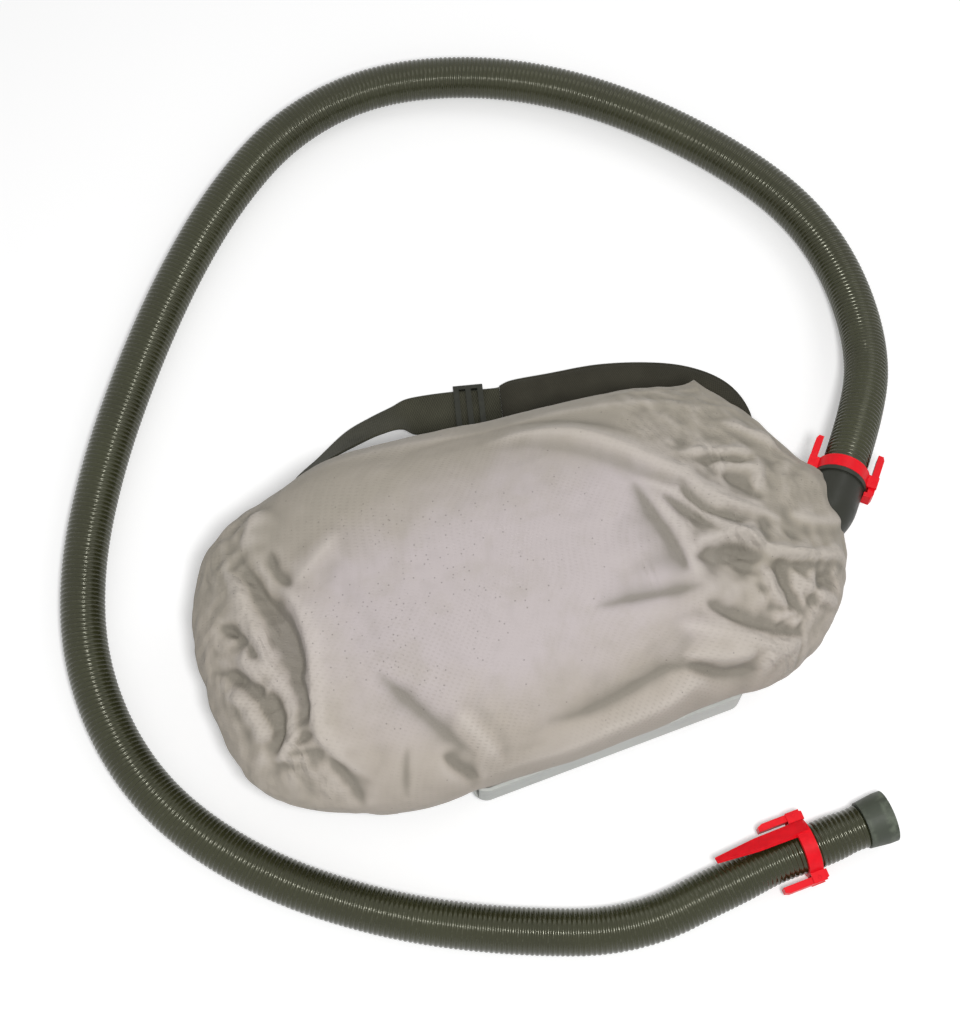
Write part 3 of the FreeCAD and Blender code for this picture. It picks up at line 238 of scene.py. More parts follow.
def cloth_colour(mat, dashes):
    """A cool worn middle; warm skirts, darker partly by painted shade of their sloping sides; painted shade on the
    far side, on the olive slack ends and towards the hem; stains; painted shade in the creases and fold valleys and
    painted highlights on the ridges; and specks.
    """
    ramp, times = mat.ramp, mat.times
    x, y, z = mat.split(mat.place)
    cloud, stain = mat.noise(9, 5), mat.noise(26, 6, 0.65)
    reach = mat.maths("SQRT", squared_reach(mat, x, y, (-0.02, -0.005), (0.2, 0.098)))
    spread = mat.maths("MULTIPLY_ADD", mat.maths("SUBTRACT", cloud, 0.5), 1.4, reach)
    # painted shade: the far side darker, patchy with the cloud noise
    far_side_shade = times(ramp(y, 0.035, 0.105), ramp(cloud, 0.25, 0.6, 0.35, 1))
    # painted shade, olive: the inlet end's near corner and the bottom end darker
    inlet_end_shade = times(ramp(mat.maths("MULTIPLY_ADD", cloud, 0.08, x), 0.125, 0.185), ramp(y, -0.105, -0.06))
    slack_end_shade = mat.maths("MAXIMUM", inlet_end_shade, times(0.55, ramp(x, -0.185, -0.225)))
    # from fold_cover: painted shade in valleys and creases above zero, painted highlights on ridges below zero
    valley = mat.node("Attribute", attribute_name="valley").outputs["Fac"]
    base = (0.474, 0.424, 0.421, 1)
    for share, colour in (
            # warmer, darker skirts: partly their own colour, partly painted shade of the sloping sides
            (ramp(spread, 0.62, 1.15), (0.415, 0.368, 0.318)),
            # painted shade on the far side
            (times(far_side_shade, 0.75), (0.315, 0.288, 0.238)),
            # painted shade on the slack ends
            (times(slack_end_shade, 0.62), (0.32, 0.29, 0.232)),
            (ramp(stain, 0.48, 0.75, 0, 0.4), (0.345, 0.31, 0.255)),
            # painted shade: darker towards the hem, on the lower sides
            (ramp(z, 0.03, 0.12, 0.35, 0), (0.31, 0.28, 0.225)),
            # painted shade in concave creases, where pointiness is low
            (ramp(mat.pointed(), 0.5, 0.45, 0, 0.45), (0.235, 0.212, 0.17)),
            # painted shade in the fold valleys and creases
            (ramp(valley, 0, 1, 0, 0.72), (0.185, 0.17, 0.138)),
            # painted highlight on the ridges
            (ramp(valley, 0, -1, 0, 0.4), (0.6, 0.55, 0.505)),
            (times(dashes, ramp(spread, 0.55, 1.1, 0.09, 0.24)), (0.3, 0.268, 0.225)),
            (times(dust_specks(mat, x, y), 0.55), (0.14, 0.125, 0.115)),
    ):
        base = mat.mix(share, base, (*colour, 1))
    return base


fine_creases = ((31, 0.0125), (-47, 0.0105), (82, 0.0145), (-8, 0.0085))  # direction in degrees, wavelength


def cloth_relief(mat, dashes):
    """Fine creases in the slack ends, then soft waviness, fibres and the embossed dashes."""
    ramp, times, place = mat.ramp, mat.times, mat.place
    x = mat.split(place)[0]
    slack = mat.maths("MAXIMUM", ramp(x, 0.09, 0.17), ramp(x, -0.17, -0.22))
    slack = mat.maths("MULTIPLY_ADD", slack, 0.9, 0.05)
    bent, relief = mat.warp(place, 0.018, 30, 4), None
    for k, (degrees, length) in enumerate(fine_creases):
        run = mat.split(mat.mapped(bent, Rotation=(0.3, 0.2, radians(degrees))))[0]
        wave = mat.maths("PINGPONG", mat.maths("DIVIDE", run, length / 2), 1)
        moved = mat.mapped(place, Location=(3.1 * k, 1.7 * k, 0))
        patch = ramp(mat.noise(21, 2, place=moved), 0.5, 0.66)
        relief = mat.bump(times(wave, times(patch, slack)), 0.0016, 0.8, relief)
    relief = mat.bump(mat.noise(75, 4, 0.6), 0.0006, 0.5, relief)
    relief = mat.bump(mat.noise(1100, 3), 0.00012, 0.5, relief)
    return mat.bump(times(dashes, -1), 0.00016, 0.8, relief)


def cover_cloth():
    """The cover's non-woven filter cloth."""
    mat = Surface("cover_cloth")
    dashes = embossed_dashes(mat)
    return mat.finish(Base_Color=cloth_colour(mat, dashes), Roughness=0.82, Sheen_Weight=0.06, Sheen_Roughness=0.4,
                      Normal=cloth_relief(mat, dashes))


def hose_plastic():
    """Satin olive-black plastic with dust in its valleys and rubbed crests."""
    mat = Surface("hose_plastic")
    ramp, times = mat.ramp, mat.times
    crest = mat.split(mat.weave())[0]
    cloud, fine = mat.noise(14, 5), mat.noise(260, 4)
    base = mat.mix(ramp(cloud, 0.3, 0.75), (0.016, 0.017, 0.005, 1), (0.026, 0.028, 0.01, 1))
    dust = times(ramp(crest, 0.5, 0), ramp(fine, 0.35, 0.7, 0.25, 0.9))
    base = mat.mix(times(dust, 0.3), base, (0.05, 0.048, 0.026, 1))
    rub = times(ramp(crest, 0.8, 1), ramp(fine, 0.5, 0.72, 0, 0.5))
    return mat.finish(
        Base_Color=mat.mix(rub, base, (0.085, 0.085, 0.062, 1)),
        Roughness=ramp(fine, 0.3, 0.75, 0.18, 0.28),
        Specular_IOR_Level=0.55, Specular_Tint=(1, 1, 0.82, 1),
        Normal=mat.bump(fine, 0.0001, 0.4))


def simple_surfaces():
    """The materials that finish the carried-over pieces, by slot."""
    made = {
        "grey_plastic": plastic("panel_grey", (0.52, 0.535, 0.51), 0.5, soft_edge=0.0012, wear=1.08),
        "cuff_plastic": plastic("cuff_grey_green", (0.058, 0.067, 0.05), 0.5, wear=1.9, gloss=0.3),
        "power_key": plastic("key_grey", (0.12, 0.12, 0.12), 0.55),
        "steel": metal("steel", (0.56, 0.56, 0.55), 0.36),
        "stator_iron": metal("stator_iron", (0.3, 0.21, 0.15), 0.5),
    }
    for slot, colour, roughness, options in (
            ("dark_plastic", (0.026, 0.027, 0.02), 0.42, {"gloss": 0.25}),
            ("red_plastic", (0.78, 0.003, 0.012), 0.42, {"wear": 1.08, "gloss": 0.22}),
            ("seal_rubber", (0.02, 0.02, 0.02), 0.75, {"grain": 0.00006}),
            ("elastic", (0.33, 0.3, 0.25), 0.85, {}),
            ("collar_board", (0.48, 0.37, 0.24), 0.8, {"grain": 0.0001, "grain_scale": 300}),
            ("battery_case", (0.03, 0.03, 0.034), 0.5, {}),
            ("circuit_board", (0.02, 0.13, 0.05), 0.4, {}),
            ("filter_foam", (0.16, 0.16, 0.18), 0.95, {"grain": 0.0008, "grain_scale": 500}),
            ("bag_paper", (0.55, 0.47, 0.34), 0.85, {"grain": 0.0001, "grain_scale": 200})):
        made[slot] = plastic(slot, colour, roughness, **options)
    return made


def dress_cad_nodes():
    surfaces = simple_surfaces()
    for part in frame["record"]["subparts"]:
        surface = surfaces.get(part["material_slot"])
        if surface is not None:
            piece = frame["nodes"][part["node"]]
            piece.data.materials.clear()
            piece.data.materials.append(surface)


# ======== curves and meshes
def ease(value, low, high):
    """0 up to low, 1 from high, and a smooth S between them."""
    t = min(max((value - low) / (high - low), 0), 1)
    return t * t * (3 - 2 * t)


def eases(values, low, high):
    """The same for an array."""
    t = np.clip((values - low) / (high - low), 0, 1)
    return t * t * (3 - 2 * t)


def bell(offset, width):
    return exp(-(offset / width) ** 2)


def finish_piece(name, points, faces, material, body=ROOT, slot=None, replaces=(), smooth=True, uvs=None):
    """A mesh piece from points and faces, with per-point UVs in metres where it is woven."""
    mesh = bpy.data.meshes.new(name)
    mesh.from_pydata([tuple(p) for p in points], [], faces)
    mesh.validate()
    mesh.update()
    if uvs is not None:
        layer = mesh.uv_layers.new(name="weave")
        for loop in mesh.loops:
            layer.data[loop.index].uv = uvs[loop.vertex_index]
    mesh.materials.append(material)
    for face in mesh.polygons:
        face.use_smooth = smooth
    piece = add_object(name, mesh)
    if body:
        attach(piece, body)
    if replaces:
        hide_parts(*replaces)
    return piece


def tube_faces(rings, around, closed_ends=False):
    faces = [(i + j, i + (j + 1) % around, i + around + (j + 1) % around, i + around + j)
             for i in range(0, (rings - 1) * around, around) for j in range(around)]
    if closed_ends:
        faces.append(tuple(range(around - 1, -1, -1)))
        faces.append(tuple(range((rings - 1) * around, rings * around)))
    return faces


def catmull(rows, steps):
    """Rows of numbers, smoothly filled in with steps rows for each span."""
    rows = [np.array(row, float) for row in rows]
    rows, out = [rows[0], *rows, rows[-1]], []
    for p, q, r, s in zip(rows, rows[1:], rows[2:], rows[3:]):
        for t in (k / steps for k in range(steps)):
            out.append(0.5 * (2 * q + (r - p) * t + (2 * p - 5 * q + 4 * r - s) * t * t
                              + (3 * q - p - 3 * r + s) * t ** 3))
    return np.array(out + rows[-1:])


def subdivide(piece, levels):
    modifier = piece.modifiers.new("smooth", "SUBSURF")
    modifier.levels = modifier.render_levels = levels
    graph = bpy.context.evaluated_depsgraph_get()
    mesh = bpy.data.meshes.new_from_object(piece.evaluated_get(graph), depsgraph=graph)
    piece.modifiers.clear()
    piece.data = mesh


# ======== hose
rib_crest, rib_valley, rib_pitch = 0.0196, 0.0184, 0.0041  # radii at a crest and in a valley, rib to rib
rib_steps, hose_around = 6, 24  # rings for each rib, points in a ring
rib_roundness = 0.42  # below 1: broad crests and narrow valleys
# Narrower in the tool cuff, and dented on its near side under a lever: share, distance from its end and reach
hose_neck, lever_dent = (0.07, 0.01, 0.012), (0.125, 0.08, 0.026)
hose_lying = [
    (0.388, 0.278), (0.35, 0.351), (0.2855, 0.4315), (0.214, 0.492), (0.134, 0.532), (0.048, 0.549),
    (-0.036, 0.532), (-0.1105, 0.484), (-0.178, 0.42), (-0.2425, 0.343), (-0.3, 0.262), (-0.344, 0.18),
    (-0.3665, 0.098), (-0.363, 0.0145), (-0.3365, -0.06), (-0.28, -0.134), (-0.198, -0.2), (-0.107, -0.249)]
hose_route = [(0.2984, 0.0074, 0.0835), (0.3471, 0.0615, 0.0653), (0.382, 0.123, 0.04), (0.398, 0.204, 0.023),
              *((x, y, rib_crest) for x, y in hose_lying),
              (-0.01, -0.286, 0.0203), (0.085, -0.2755, 0.0235), (0.2, -0.272, 0.0235)]


def nurbs_points(route):
    """The points of the smooth NURBS line that has the route as its control points."""
    curve = bpy.data.curves.new("route", "CURVE")
    curve.dimensions = "3D"
    spline = curve.splines.new("NURBS")
    spline.points.add(len(route) - 1)
    for control, place in zip(spline.points, route):
        control.co = (*place, 1)
    spline.order_u = 3
    spline.use_endpoint_u = True
    curve.resolution_u = 16
    carrier = add_object("route", curve)
    bpy.context.view_layer.update()
    mesh = bpy.data.meshes.new_from_object(carrier)
    points = [v.co.copy() for v in mesh.vertices]
    bpy.data.objects.remove(carrier)
    return points


def even_steps(points, count):
    """The same line at count + 1 evenly spaced points, and its length."""
    lengths = [0]
    for a, b in zip(points, points[1:]):
        lengths.append(lengths[-1] + (b - a).length)
    out, k = [], 0
    for i in range(count + 1):
        distance = lengths[-1] * i / count
        while k < len(points) - 2 and lengths[k + 1] < distance:
            k += 1
        share = (distance - lengths[k]) / max(lengths[k + 1] - lengths[k], 1e-9)
        out.append(points[k].lerp(points[k + 1], min(share, 1)))
    return out, lengths[-1]


def build_hose():
    line = nurbs_points(hose_route)
    total = even_steps(line, 1)[1]
    steps = round(total / rib_pitch) * rib_steps
    path = even_steps(line, steps)[0]
    points, uvs = [], []
    normal = Vector((0, 0, 1))
    for i, place in enumerate(path):
        way = (path[min(i + 1, steps)] - path[max(i - 1, 0)]).normalized()
        normal = (normal - way * normal.dot(way)).normalized()
        side = way.cross(normal)
        crest = (0.5 - 0.5 * cos(2 * pi * ((i % rib_steps) / rib_steps))) ** rib_roundness
        to_end = (steps - i) * total / steps
        neck, dent = (deep * bell(to_end - where, reach) for deep, where, reach in (hose_neck, lever_dent))
        radius = (rib_valley + (rib_crest - rib_valley) * crest) * (1 - neck)
        for j in range(hose_around):
            angle = 2 * pi * j / hose_around
            out = normal * cos(angle) + side * sin(angle)
            points.append(place + out * (radius * (1 - dent * max(-out.y, 0) ** 2)))
            uvs.append((crest, angle))
    hose = finish_piece("hose", points, tube_faces(len(path), hose_around), hose_plastic(), slot="hose_plastic",
                        replaces=["suction_hose"], uvs=uvs)
    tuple(hose_route[0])
    [tuple(p) for p in path[::rib_steps]]


# ======== the cover's shape
cover_middle = (-0.005, 0.008)
cover_centre = Vector(cover_middle)
hem_z, belly_z, dome_rise = 0.031, 0.095, 0.0868
cover_top = 0.182
belly_corners = [(-0.274, -0.144), (0.274, -0.144), (0.274, 0.1197), (-0.274, 0.1855)]
belly_radii = [0.155, 0.115, 0.15, 0.135]
belly_reach = (0.274, 0.15)  # half of its length and width
shell_reach, shell_radius = (0.24, 0.118), 0.11
skirt_levels = ((0.006, hem_z), (0.0066, 0.038), (0.013, 0.058))  # distance from the base shell, height
waist_scale, waist_z = 0.965, 0.076
dome_steps = 14
across_power, along_power, rise_power = 0.77, 1.02, 0.91  # how square the dome is
along_least = 0.62  # how much shorter than broad, in scale, the dome may become
outline_count, corner_steps = 720, 24  # directions in an outline, and steps round a corner
weave_reach = (0.4, 0.27)  # half of the flat cloth, for its UVs


def rounded_polar(corners, radii):
    """The outline's distances from the cover's centre, at even angles."""
    dense = []
    for i, radius in enumerate(radii):
        last, corner, following = (Vector(corners[(i + k) % len(corners)]) for k in (-1, 0, 1))
        before, after = (corner - last).normalized(), (following - corner).normalized()
        turn = before.angle(after)
        centre = corner + (after - before).normalized() * (radius / cos(turn / 2))
        first = corner - before * (radius * tan(turn / 2)) - centre
        for k in range(corner_steps + 1):
            angle = turn * k / corner_steps
            dense.append(centre + Vector((first.x * cos(angle) - first.y * sin(angle),
                                          first.x * sin(angle) + first.y * cos(angle))))
    out = []
    for k in range(outline_count):
        angle = 2 * pi * k / outline_count
        ray = Vector((cos(angle), sin(angle)))
        best = 0
        for a, b in zip(dense, dense[1:] + dense[:1]):
            p, d = a - cover_centre, b - a
            cross = ray.x * d.y - ray.y * d.x
            if abs(cross) < 1e-9:
                continue
            along = (p.x * d.y - p.y * d.x) / cross
            share = (p.x * ray.y - p.y * ray.x) / cross
            if along > 0 and -1e-6 <= share <= 1 + 1e-6:
                best = max(best, along)
        out.append(best)
    return out


def shell_outline(grow):
    """The base shell's outline, at a distance from its wall."""
    a, b = (half + grow for half in shell_reach)
    return rounded_polar([(-a, -b), (a, -b), (a, b), (-a, b)], [shell_radius + grow] * 4)


def cover_levels():
    """The cover's outlines from hem to crown: (polar outline, scale along, across, height, share of the side)."""
    belly = rounded_polar(belly_corners, belly_radii)
    rows = [(shell_outline(grow), 1, 1, z) for grow, z in skirt_levels]
    rows += [(belly, waist_scale, waist_scale, waist_z), (belly, 1, 1, belly_z)]
    for step in range(1, dome_steps + 1):
        turn = pi / 2 * step / dome_steps
        across = max(cos(turn), 0) ** across_power
        along = max(max(cos(turn), 0) ** along_power, along_least * across)
        rows.append((belly, along, across, belly_z + dome_rise * sin(turn) ** rise_power))
    out, passed, last = [], 0, None
    for outline, along, across, z in rows:
        reach = 0.5 * (outline[0] + outline[outline_count // 4]) * across
        if last is not None:
            passed += hypot(reach - last[0], z - last[1])
        last = (reach, z)
        out.append((outline, along, across, z, passed))
    return [(o, a, c, z, 1 - p / passed) for o, a, c, z, p in out]


def cover_point(levels, share, angle):
    """The point at share (0 crown, 1 hem) of the side, in a plan direction."""
    index = (angle % (2 * pi)) / (2 * pi) * outline_count
    k, part = int(index) % outline_count, index - int(index)

    def at(level):
        outline, along, across, z, _ = level
        radius = outline[k] * (1 - part) + outline[(k + 1) % outline_count] * part
        return Vector((cover_centre.x + radius * along * cos(angle),
                       cover_centre.y + radius * across * sin(angle), z))
    for low, high in zip(levels, levels[1:]):
        if share >= high[4]:
            return at(low).lerp(at(high), min(max((low[4] - share) / max(low[4] - high[4], 1e-9), 0), 1))
    return at(levels[-1])


def disc_grid(across, along):
    """Points of a square grid bent into a disc, each with its place on the square, and the grid's faces."""
    rows = []
    for j in range(along):
        for i in range(across):
            s, t = 2 * i / (across - 1) - 1, 2 * j / (along - 1) - 1
            rows.append((s * sqrt(1 - t * t / 2), t * sqrt(1 - s * s / 2), s, t))
    faces = [(j * across + i, j * across + i + 1, (j + 1) * across + i + 1, (j + 1) * across + i)
             for j in range(along - 1) for i in range(across - 1)]
    return rows, faces


def dome_mesh(across, along):
    levels = cover_levels()
    rows, faces = disc_grid(across, along)
    points, uvs, shares = [], [], []
    for u, v, s, t in rows:
        share = min(hypot(u, v), 1)
        angle = atan2(v * belly_reach[1], u * belly_reach[0]) if share > 1e-6 else 0
        points.append(cover_point(levels, share, angle))
        uvs.append((s * weave_reach[0], t * weave_reach[1]))
        shares.append(share)
    return points, faces, uvs, shares


# ======== the cover's folds
# Each fold, in millimetres: its height (below zero: a groove), its width on its left and right, and its line
folds = [
    # the slack at the inlet end, drawn towards the corner where the cord is tied
    (6.5, 15, 6, (4, 110), (38, 106), (76, 90), (106, 66), (128, 44), (154, 19), (181, -4)),
    (-3.2, 13, 9, (-60, 128), (0, 126), (50, 119), (100, 94), (130, 66)),
    (-4.8, 4, 20, (106, 34), (112, 11), (118, -14), (121, -37), (122, -55)),
    (7, 9, 4.5, (109, 36), (140, 7), (162, -27), (188, -52), (211, -64), (230, -73)),
    (6, 12, 4, (137, -32), (166, -37), (188, -51)),
    (-7, 5, 12, (128, -42), (156, -46), (186, -60)),
    (-4.2, 6, 6, (124, 18), (146, -10), (160, -34)),
    (5.8, 9, 4, (147, 24), (161, 3), (186, -15), (215, -33)),
    (-5, 4, 8, (140, 18), (156, -8), (182, -28)),
    (4.8, 8, 4, (150, 47), (173, 41), (199, 35), (218, 30)),
    (4, 6, 4, (170, 29), (194, 26), (211, 15)),
    (-4.2, 4, 4, (160, 38), (186, 32), (208, 24)),
    (4.5, 5, 5, (218, 30), (209, 8), (198, -9)),
    (-5, 5, 6, (180, 20), (196, 6), (206, -12)),
    (-3.2, 16, 6, (34, -56), (68, -59), (101, -64), (131, -67)),
    (7, 10, 3, (190, -59), (214, -66), (243, -70), (258, -78)),
    (-5.6, 3, 10, (200, -124), (169, -114), (144, -100), (122, -78)),
    (-5.5, 4, 6, (198, -60), (195, -86), (202, -112)),
    (5, 7, 3, (202, -78), (219, -97), (238, -106)),
    (-4.5, 4, 6, (208, -106), (224, -92), (242, -80)),
    (5, 10, 6, (200, -126), (165, -122), (130, -105), (95, -90)),
    (4.5, 6, 3, (182, -66), (181, -84), (190, -103)),
    (4.5, 10, 4, (218, -27), (242, -41), (268, -43)),
    (4.5, 8, 4, (200, 70), (226, 46), (246, 30)),
    # the lip above the harness plate, with the slack drawn to its two ends
    (5, 7, 7, (-88, -140), (-47, -139), (-11, -139), (27, -138), (66, -136), (95, -132), (115, -134)),
    (-4.2, 12, 6, (-30, -122), (1, -126), (31, -125), (60, -121), (82, -119), (118, -130)),
    (-4.8, 7, 4, (92, -120), (121, -134), (154, -137)),
    (2.5, 6, 9, (-95, -92), (-84, -112), (-70, -138)),
    (-3.8, 7, 3, (-116, -118), (-104, -133), (-90, -142)),
    (4.5, 9, 5, (90, -111), (122, -122), (150, -124)),
    # the taut middle's edge at the bottom end, and the slack pouch beyond it
    (7, 20, 4.5, (-192, 62), (-184, 38), (-182, 9), (-187, -23), (-196, -59), (-186, -92), (-170, -114)),
    (-9.5, 7, 10, (-212, 100), (-206, 55), (-197, 22), (-198, -8), (-209, -34)),
    (6, 5, 10, (-228, 97), (-219, 62), (-218, 12), (-216, -10)),
    (-5.5, 4, 6, (-246, 52), (-232, 32), (-221, 2)),
    (4.5, 5, 5, (-225, 28), (-234, 12), (-227, -14)),
    (-6, 6, 5, (-265, 22), (-244, 3), (-232, -21), (-226, -52)),
    (5, 7, 5, (-258, 0), (-240, -22), (-230, -55)),
    (-7, 4, 6, (-225, -16), (-222, -40), (-230, -66)),
    (-5, 4, 7, (-203, -12), (-200, -36), (-202, -58)),
    (4.5, 4, 5, (-208, -56), (-221, -60), (-231, -66)),
    (4.5, 10, 5, (-180, 134), (-195, 118), (-209, 98)),
    (-4, 5, 5, (-187, 91), (-189, 69), (-179, 50)),
    (2.5, 8, 8, (-129, 80), (-155, 64), (-178, 52)),
    # two long shallow dents where the middle meets the near skirt
    (-4, 9, 12, (-141, -40), (-131, -63), (-120, -83), (-105, -109), (-84, -133)),
    (-1.3, 2, 3, (-137, -101), (-145, -119), (-151, -136)),
    (-3.6, 9, 3, (-195, -80), (-189, -104), (-182, -128)),
    # the sewn edge along the far side
    (2.5, 9, 6, (-138, 149), (-75, 140), (-5, 128), (60, 121), (131, 106), (194, 94)),
]
fold_strength, fold_foot = 1.5, 2.8  # times each fold's height, and times its width for its foot
fold_ends, end_width = 0.36, 0.45  # the share of its line that each end tapers over, and the tip's width
fold_edge = 1.9  # how sharp the ridges are
fold_fade, crease_fade = (0.9, 0.12), (0.97, 0.1)  # the share of the side where they end, and over which
hem_groove = (0.785, 0.011, 0.0052)  # share of the side, width and depth
gather_share, gather_width, gather_height = 0.93, 0.05, 0.0035
# Where a corner of the cloth stands out over the shoulder pad: X, reach, height and direction
hem_peak = (0.203, 0.015, 0.014, (0.3, 0.95))
# Where the cloth's outline stands out from its even form, or falls short of it: place, reach and shift
outline_shifts = [((-0.25, -0.078), 0.062, (-0.0125, -0.0085)), ((-0.166, 0.168), 0.044, (0, -0.014)),
                  ((0.272, 0.048), 0.034, (-0.0075, -0.004)), ((0.272, -0.01), 0.032, (0.0085, 0.004)),
                  ((0.16, -0.148), 0.034, (0.002, -0.003))]
gather_knot = Vector((0.207, -0.108))  # where the drawcord gathers the inlet end
end_knot = Vector((-0.228, -0.06))  # and where the bottom end's folds meet
# The fans of narrow folds: knot, reach, folds in a turn and height
pleat_fans = ((gather_knot, 0.05, 13, 0.0034), (end_knot, 0.036, 11, 0.0026))
# Creases that break the slack cloth into facets: direction in degrees, wavelength and height in metres
creases = [(-38, 0.034, 0.0026), (21, 0.041, 0.0022), (74, 0.029, 0.0018), (-72, 0.023, 0.0015),
           (2, 0.019, 0.0011), (48, 0.014, 0.0008), (-15, 0.012, 0.0006)]
valley_shade_depth, crease_shade_depth = 0.012, 0.0013  # the depths, below the dome and below the cloth around, at which a valley's painted shade is darkest
# What may lie under the cloth
carriers = ("dust_bag", "bag_collar", "inlet_port", "cover_frame", "motor_housing_front", "motor_housing_rear",
            "bulkhead", "filter_frame", "base_shell")
cloth_gap = 0.003


def noise_at(x, y, scale, level, kind=noise.noise):
    """Smooth noise at arrays of places."""
    return np.array([kind(Vector((a * scale, b * scale, level))) for a, b in zip(x, y)])


def fold_lift(fold, x, y):
    """How far a fold lifts the cloth, at arrays of places on the plan."""
    height, left, right = (value / 1000 for value in fold[:3])
    line = catmull(fold[3:], 5) / 1000
    best, side, share = np.full(x.shape, 1e9), np.ones(x.shape), np.zeros(x.shape)
    for k, (a, b) in enumerate(zip(line, line[1:])):
        run = b - a
        t = np.clip(((x - a[0]) * run[0] + (y - a[1]) * run[1]) / max(float(run @ run), 1e-12), 0, 1)
        dx, dy = x - a[0] - run[0] * t, y - a[1] - run[1] * t
        distance = np.hypot(dx, dy)
        nearer = distance < best
        best = np.where(nearer, distance, best)
        side = np.where(nearer, np.where(run[0] * dy - run[1] * dx > 0, 1, -1), side)
        share = np.where(nearer, (k + t) / (len(line) - 1), share)
    ends = eases(share, -0.04, fold_ends) * eases(1.04 - share, 0, fold_ends)
    width = np.where(side > 0, left, right) * (end_width + (1 - end_width) * ends)
    return fold_strength * height * ends * np.clip(1 - best / (fold_foot * width), 0, 1) ** fold_edge


def pleats(x, y):
    """Fans of narrow folds round the two knots, most of them towards the cover's middle."""
    lift = np.zeros(x.shape)
    for knot, reach, count, height in pleat_fans:
        radius, angle = np.hypot(x - knot.x, y - knot.y), np.arctan2(y - knot.y, x - knot.x)
        wander = 2.6 * noise_at(x, y, 42, 2)
        wave = np.abs(np.sin(0.5 * count * angle + wander)) ** 0.7 - 0.6
        inward = atan2(cover_centre.y - knot.y, cover_centre.x - knot.x)
        side = 0.12 + 0.88 * eases(np.cos(angle - inward), -0.4, 0.4)
        lift += height * side * wave * np.exp(-(radius / reach) ** 2) * eases(radius, 0, 0.014)
    return lift


def crumple(places):
    """Broken facets of creased cloth, strong at the two ends and faint in the middle."""
    x, y, z = places.T
    out = np.hypot(x - cover_centre.x, y - cover_centre.y) + 1e-6
    down = np.clip(cover_top - z, 0, 1)
    u, v = x + (x - cover_centre.x) / out * down, y + (y - cover_centre.y) / out * down  # the sides laid flat
    bends = noise_at(u, v, 15, 4, noise.noise_vector)
    u, v = u + 0.011 * bends[:, 0], v + 0.011 * bends[:, 1]
    lift = np.zeros(x.shape)
    for k, (degrees, length, height) in enumerate(creases):
        turn = radians(degrees)
        phase = (u * cos(turn) + v * sin(turn)) / length + 0.37 * k
        wave = 2 * np.abs(phase - np.floor(phase + 0.5)) - 0.5
        lift += height * wave * eases(noise_at(u, v, 19, 9 + 5 * k), -0.15, 0.3)
    slack = np.maximum(eases(x, 0.1, 0.17), eases(-x, 0.175, 0.215))
    steep = 0.25 + 0.75 * eases(z, 0.105, 0.135)
    knots = sum(np.exp(-((x - k.x) ** 2 + (y - k.y) ** 2) / 0.002) for k in (gather_knot, end_knot))
    return 0.75 * lift * steep * (0.13 + 0.87 * slack + 0.9 * knots)


def fold_height(places, shares):
    """How far folds, pleats, creases and the groove above the hem lift or sink each place."""
    x, y, _ = places.T
    folded = sum(fold_lift(fold, x, y) for fold in folds)
    top, free = (eases(end - shares, 0, fade) for end, fade in (fold_fade, crease_fade))
    where, width, depth = hem_groove
    groove = np.exp(-((shares - where) / width) ** 2) * eases(-x, 0.06, 0.1) * eases(-y, 0.03, 0.08)
    return top * (folded + pleats(x, y)) + free * crumple(places) - depth * groove


def uneven_outline(places, shares):
    """How far each place moves on the plan, as the cloth's outline isn't even."""
    x, y, z = places.T
    peak_x, reach, height, way = hem_peak
    corner = height * np.exp(-np.abs(x - peak_x) / reach) * eases(y, 0.06, 0.1)
    moved = np.array([way]) * (corner * eases(z, 0.035, 0.055) * eases(0.125 - z, 0, 0.03))[:, None]
    band = eases(shares, 0.45, 0.74) * eases(0.96 - shares, 0, 0.08)
    for (px, py), reach, shift in outline_shifts:
        near = np.exp(-((x - px) ** 2 + (y - py) ** 2) / reach ** 2) * band
        moved += near[:, None] * np.array([shift])
    return moved


def inner_heights(places):
    """The height of what lies under the cloth, straight below each place."""
    points, faces = [], []
    for name in carriers:
        mesh = frame["nodes"][name].data
        offset = len(points)
        points.extend(v.co for v in mesh.vertices)
        faces.extend([i + offset for i in face.vertices] for face in mesh.polygons)
    tree = BVHTree.FromPolygons(points, faces)
    heights = []
    for x, y, _ in places:
        hit = tree.ray_cast(Vector((x, y, 0.4)), Vector((0, 0, -1)))[0]
        heights.append(hit.z if hit is not None else -1)
    return np.array(heights)


def point_rows(mesh, kind):
    """The mesh's points ("co") or their normals ("normal"), as rows."""
    values = np.empty(len(mesh.vertices) * 3)
    mesh.vertices.foreach_get(kind, values)
    return values.reshape(-1, 3)


def evener(mesh):
    """A function that gives each of the mesh's points the mean of its neighbours' values."""
    count = len(mesh.vertices)
    edges = np.empty(len(mesh.edges) * 2, dtype=np.int64)
    mesh.edges.foreach_get("vertices", edges)
    start, end = edges.reshape(-1, 2).T
    meetings = np.bincount(start, minlength=count) + np.bincount(end, minlength=count)
    return lambda values: (np.bincount(start, values[end], count) + np.bincount(end, values[start], count)) / meetings


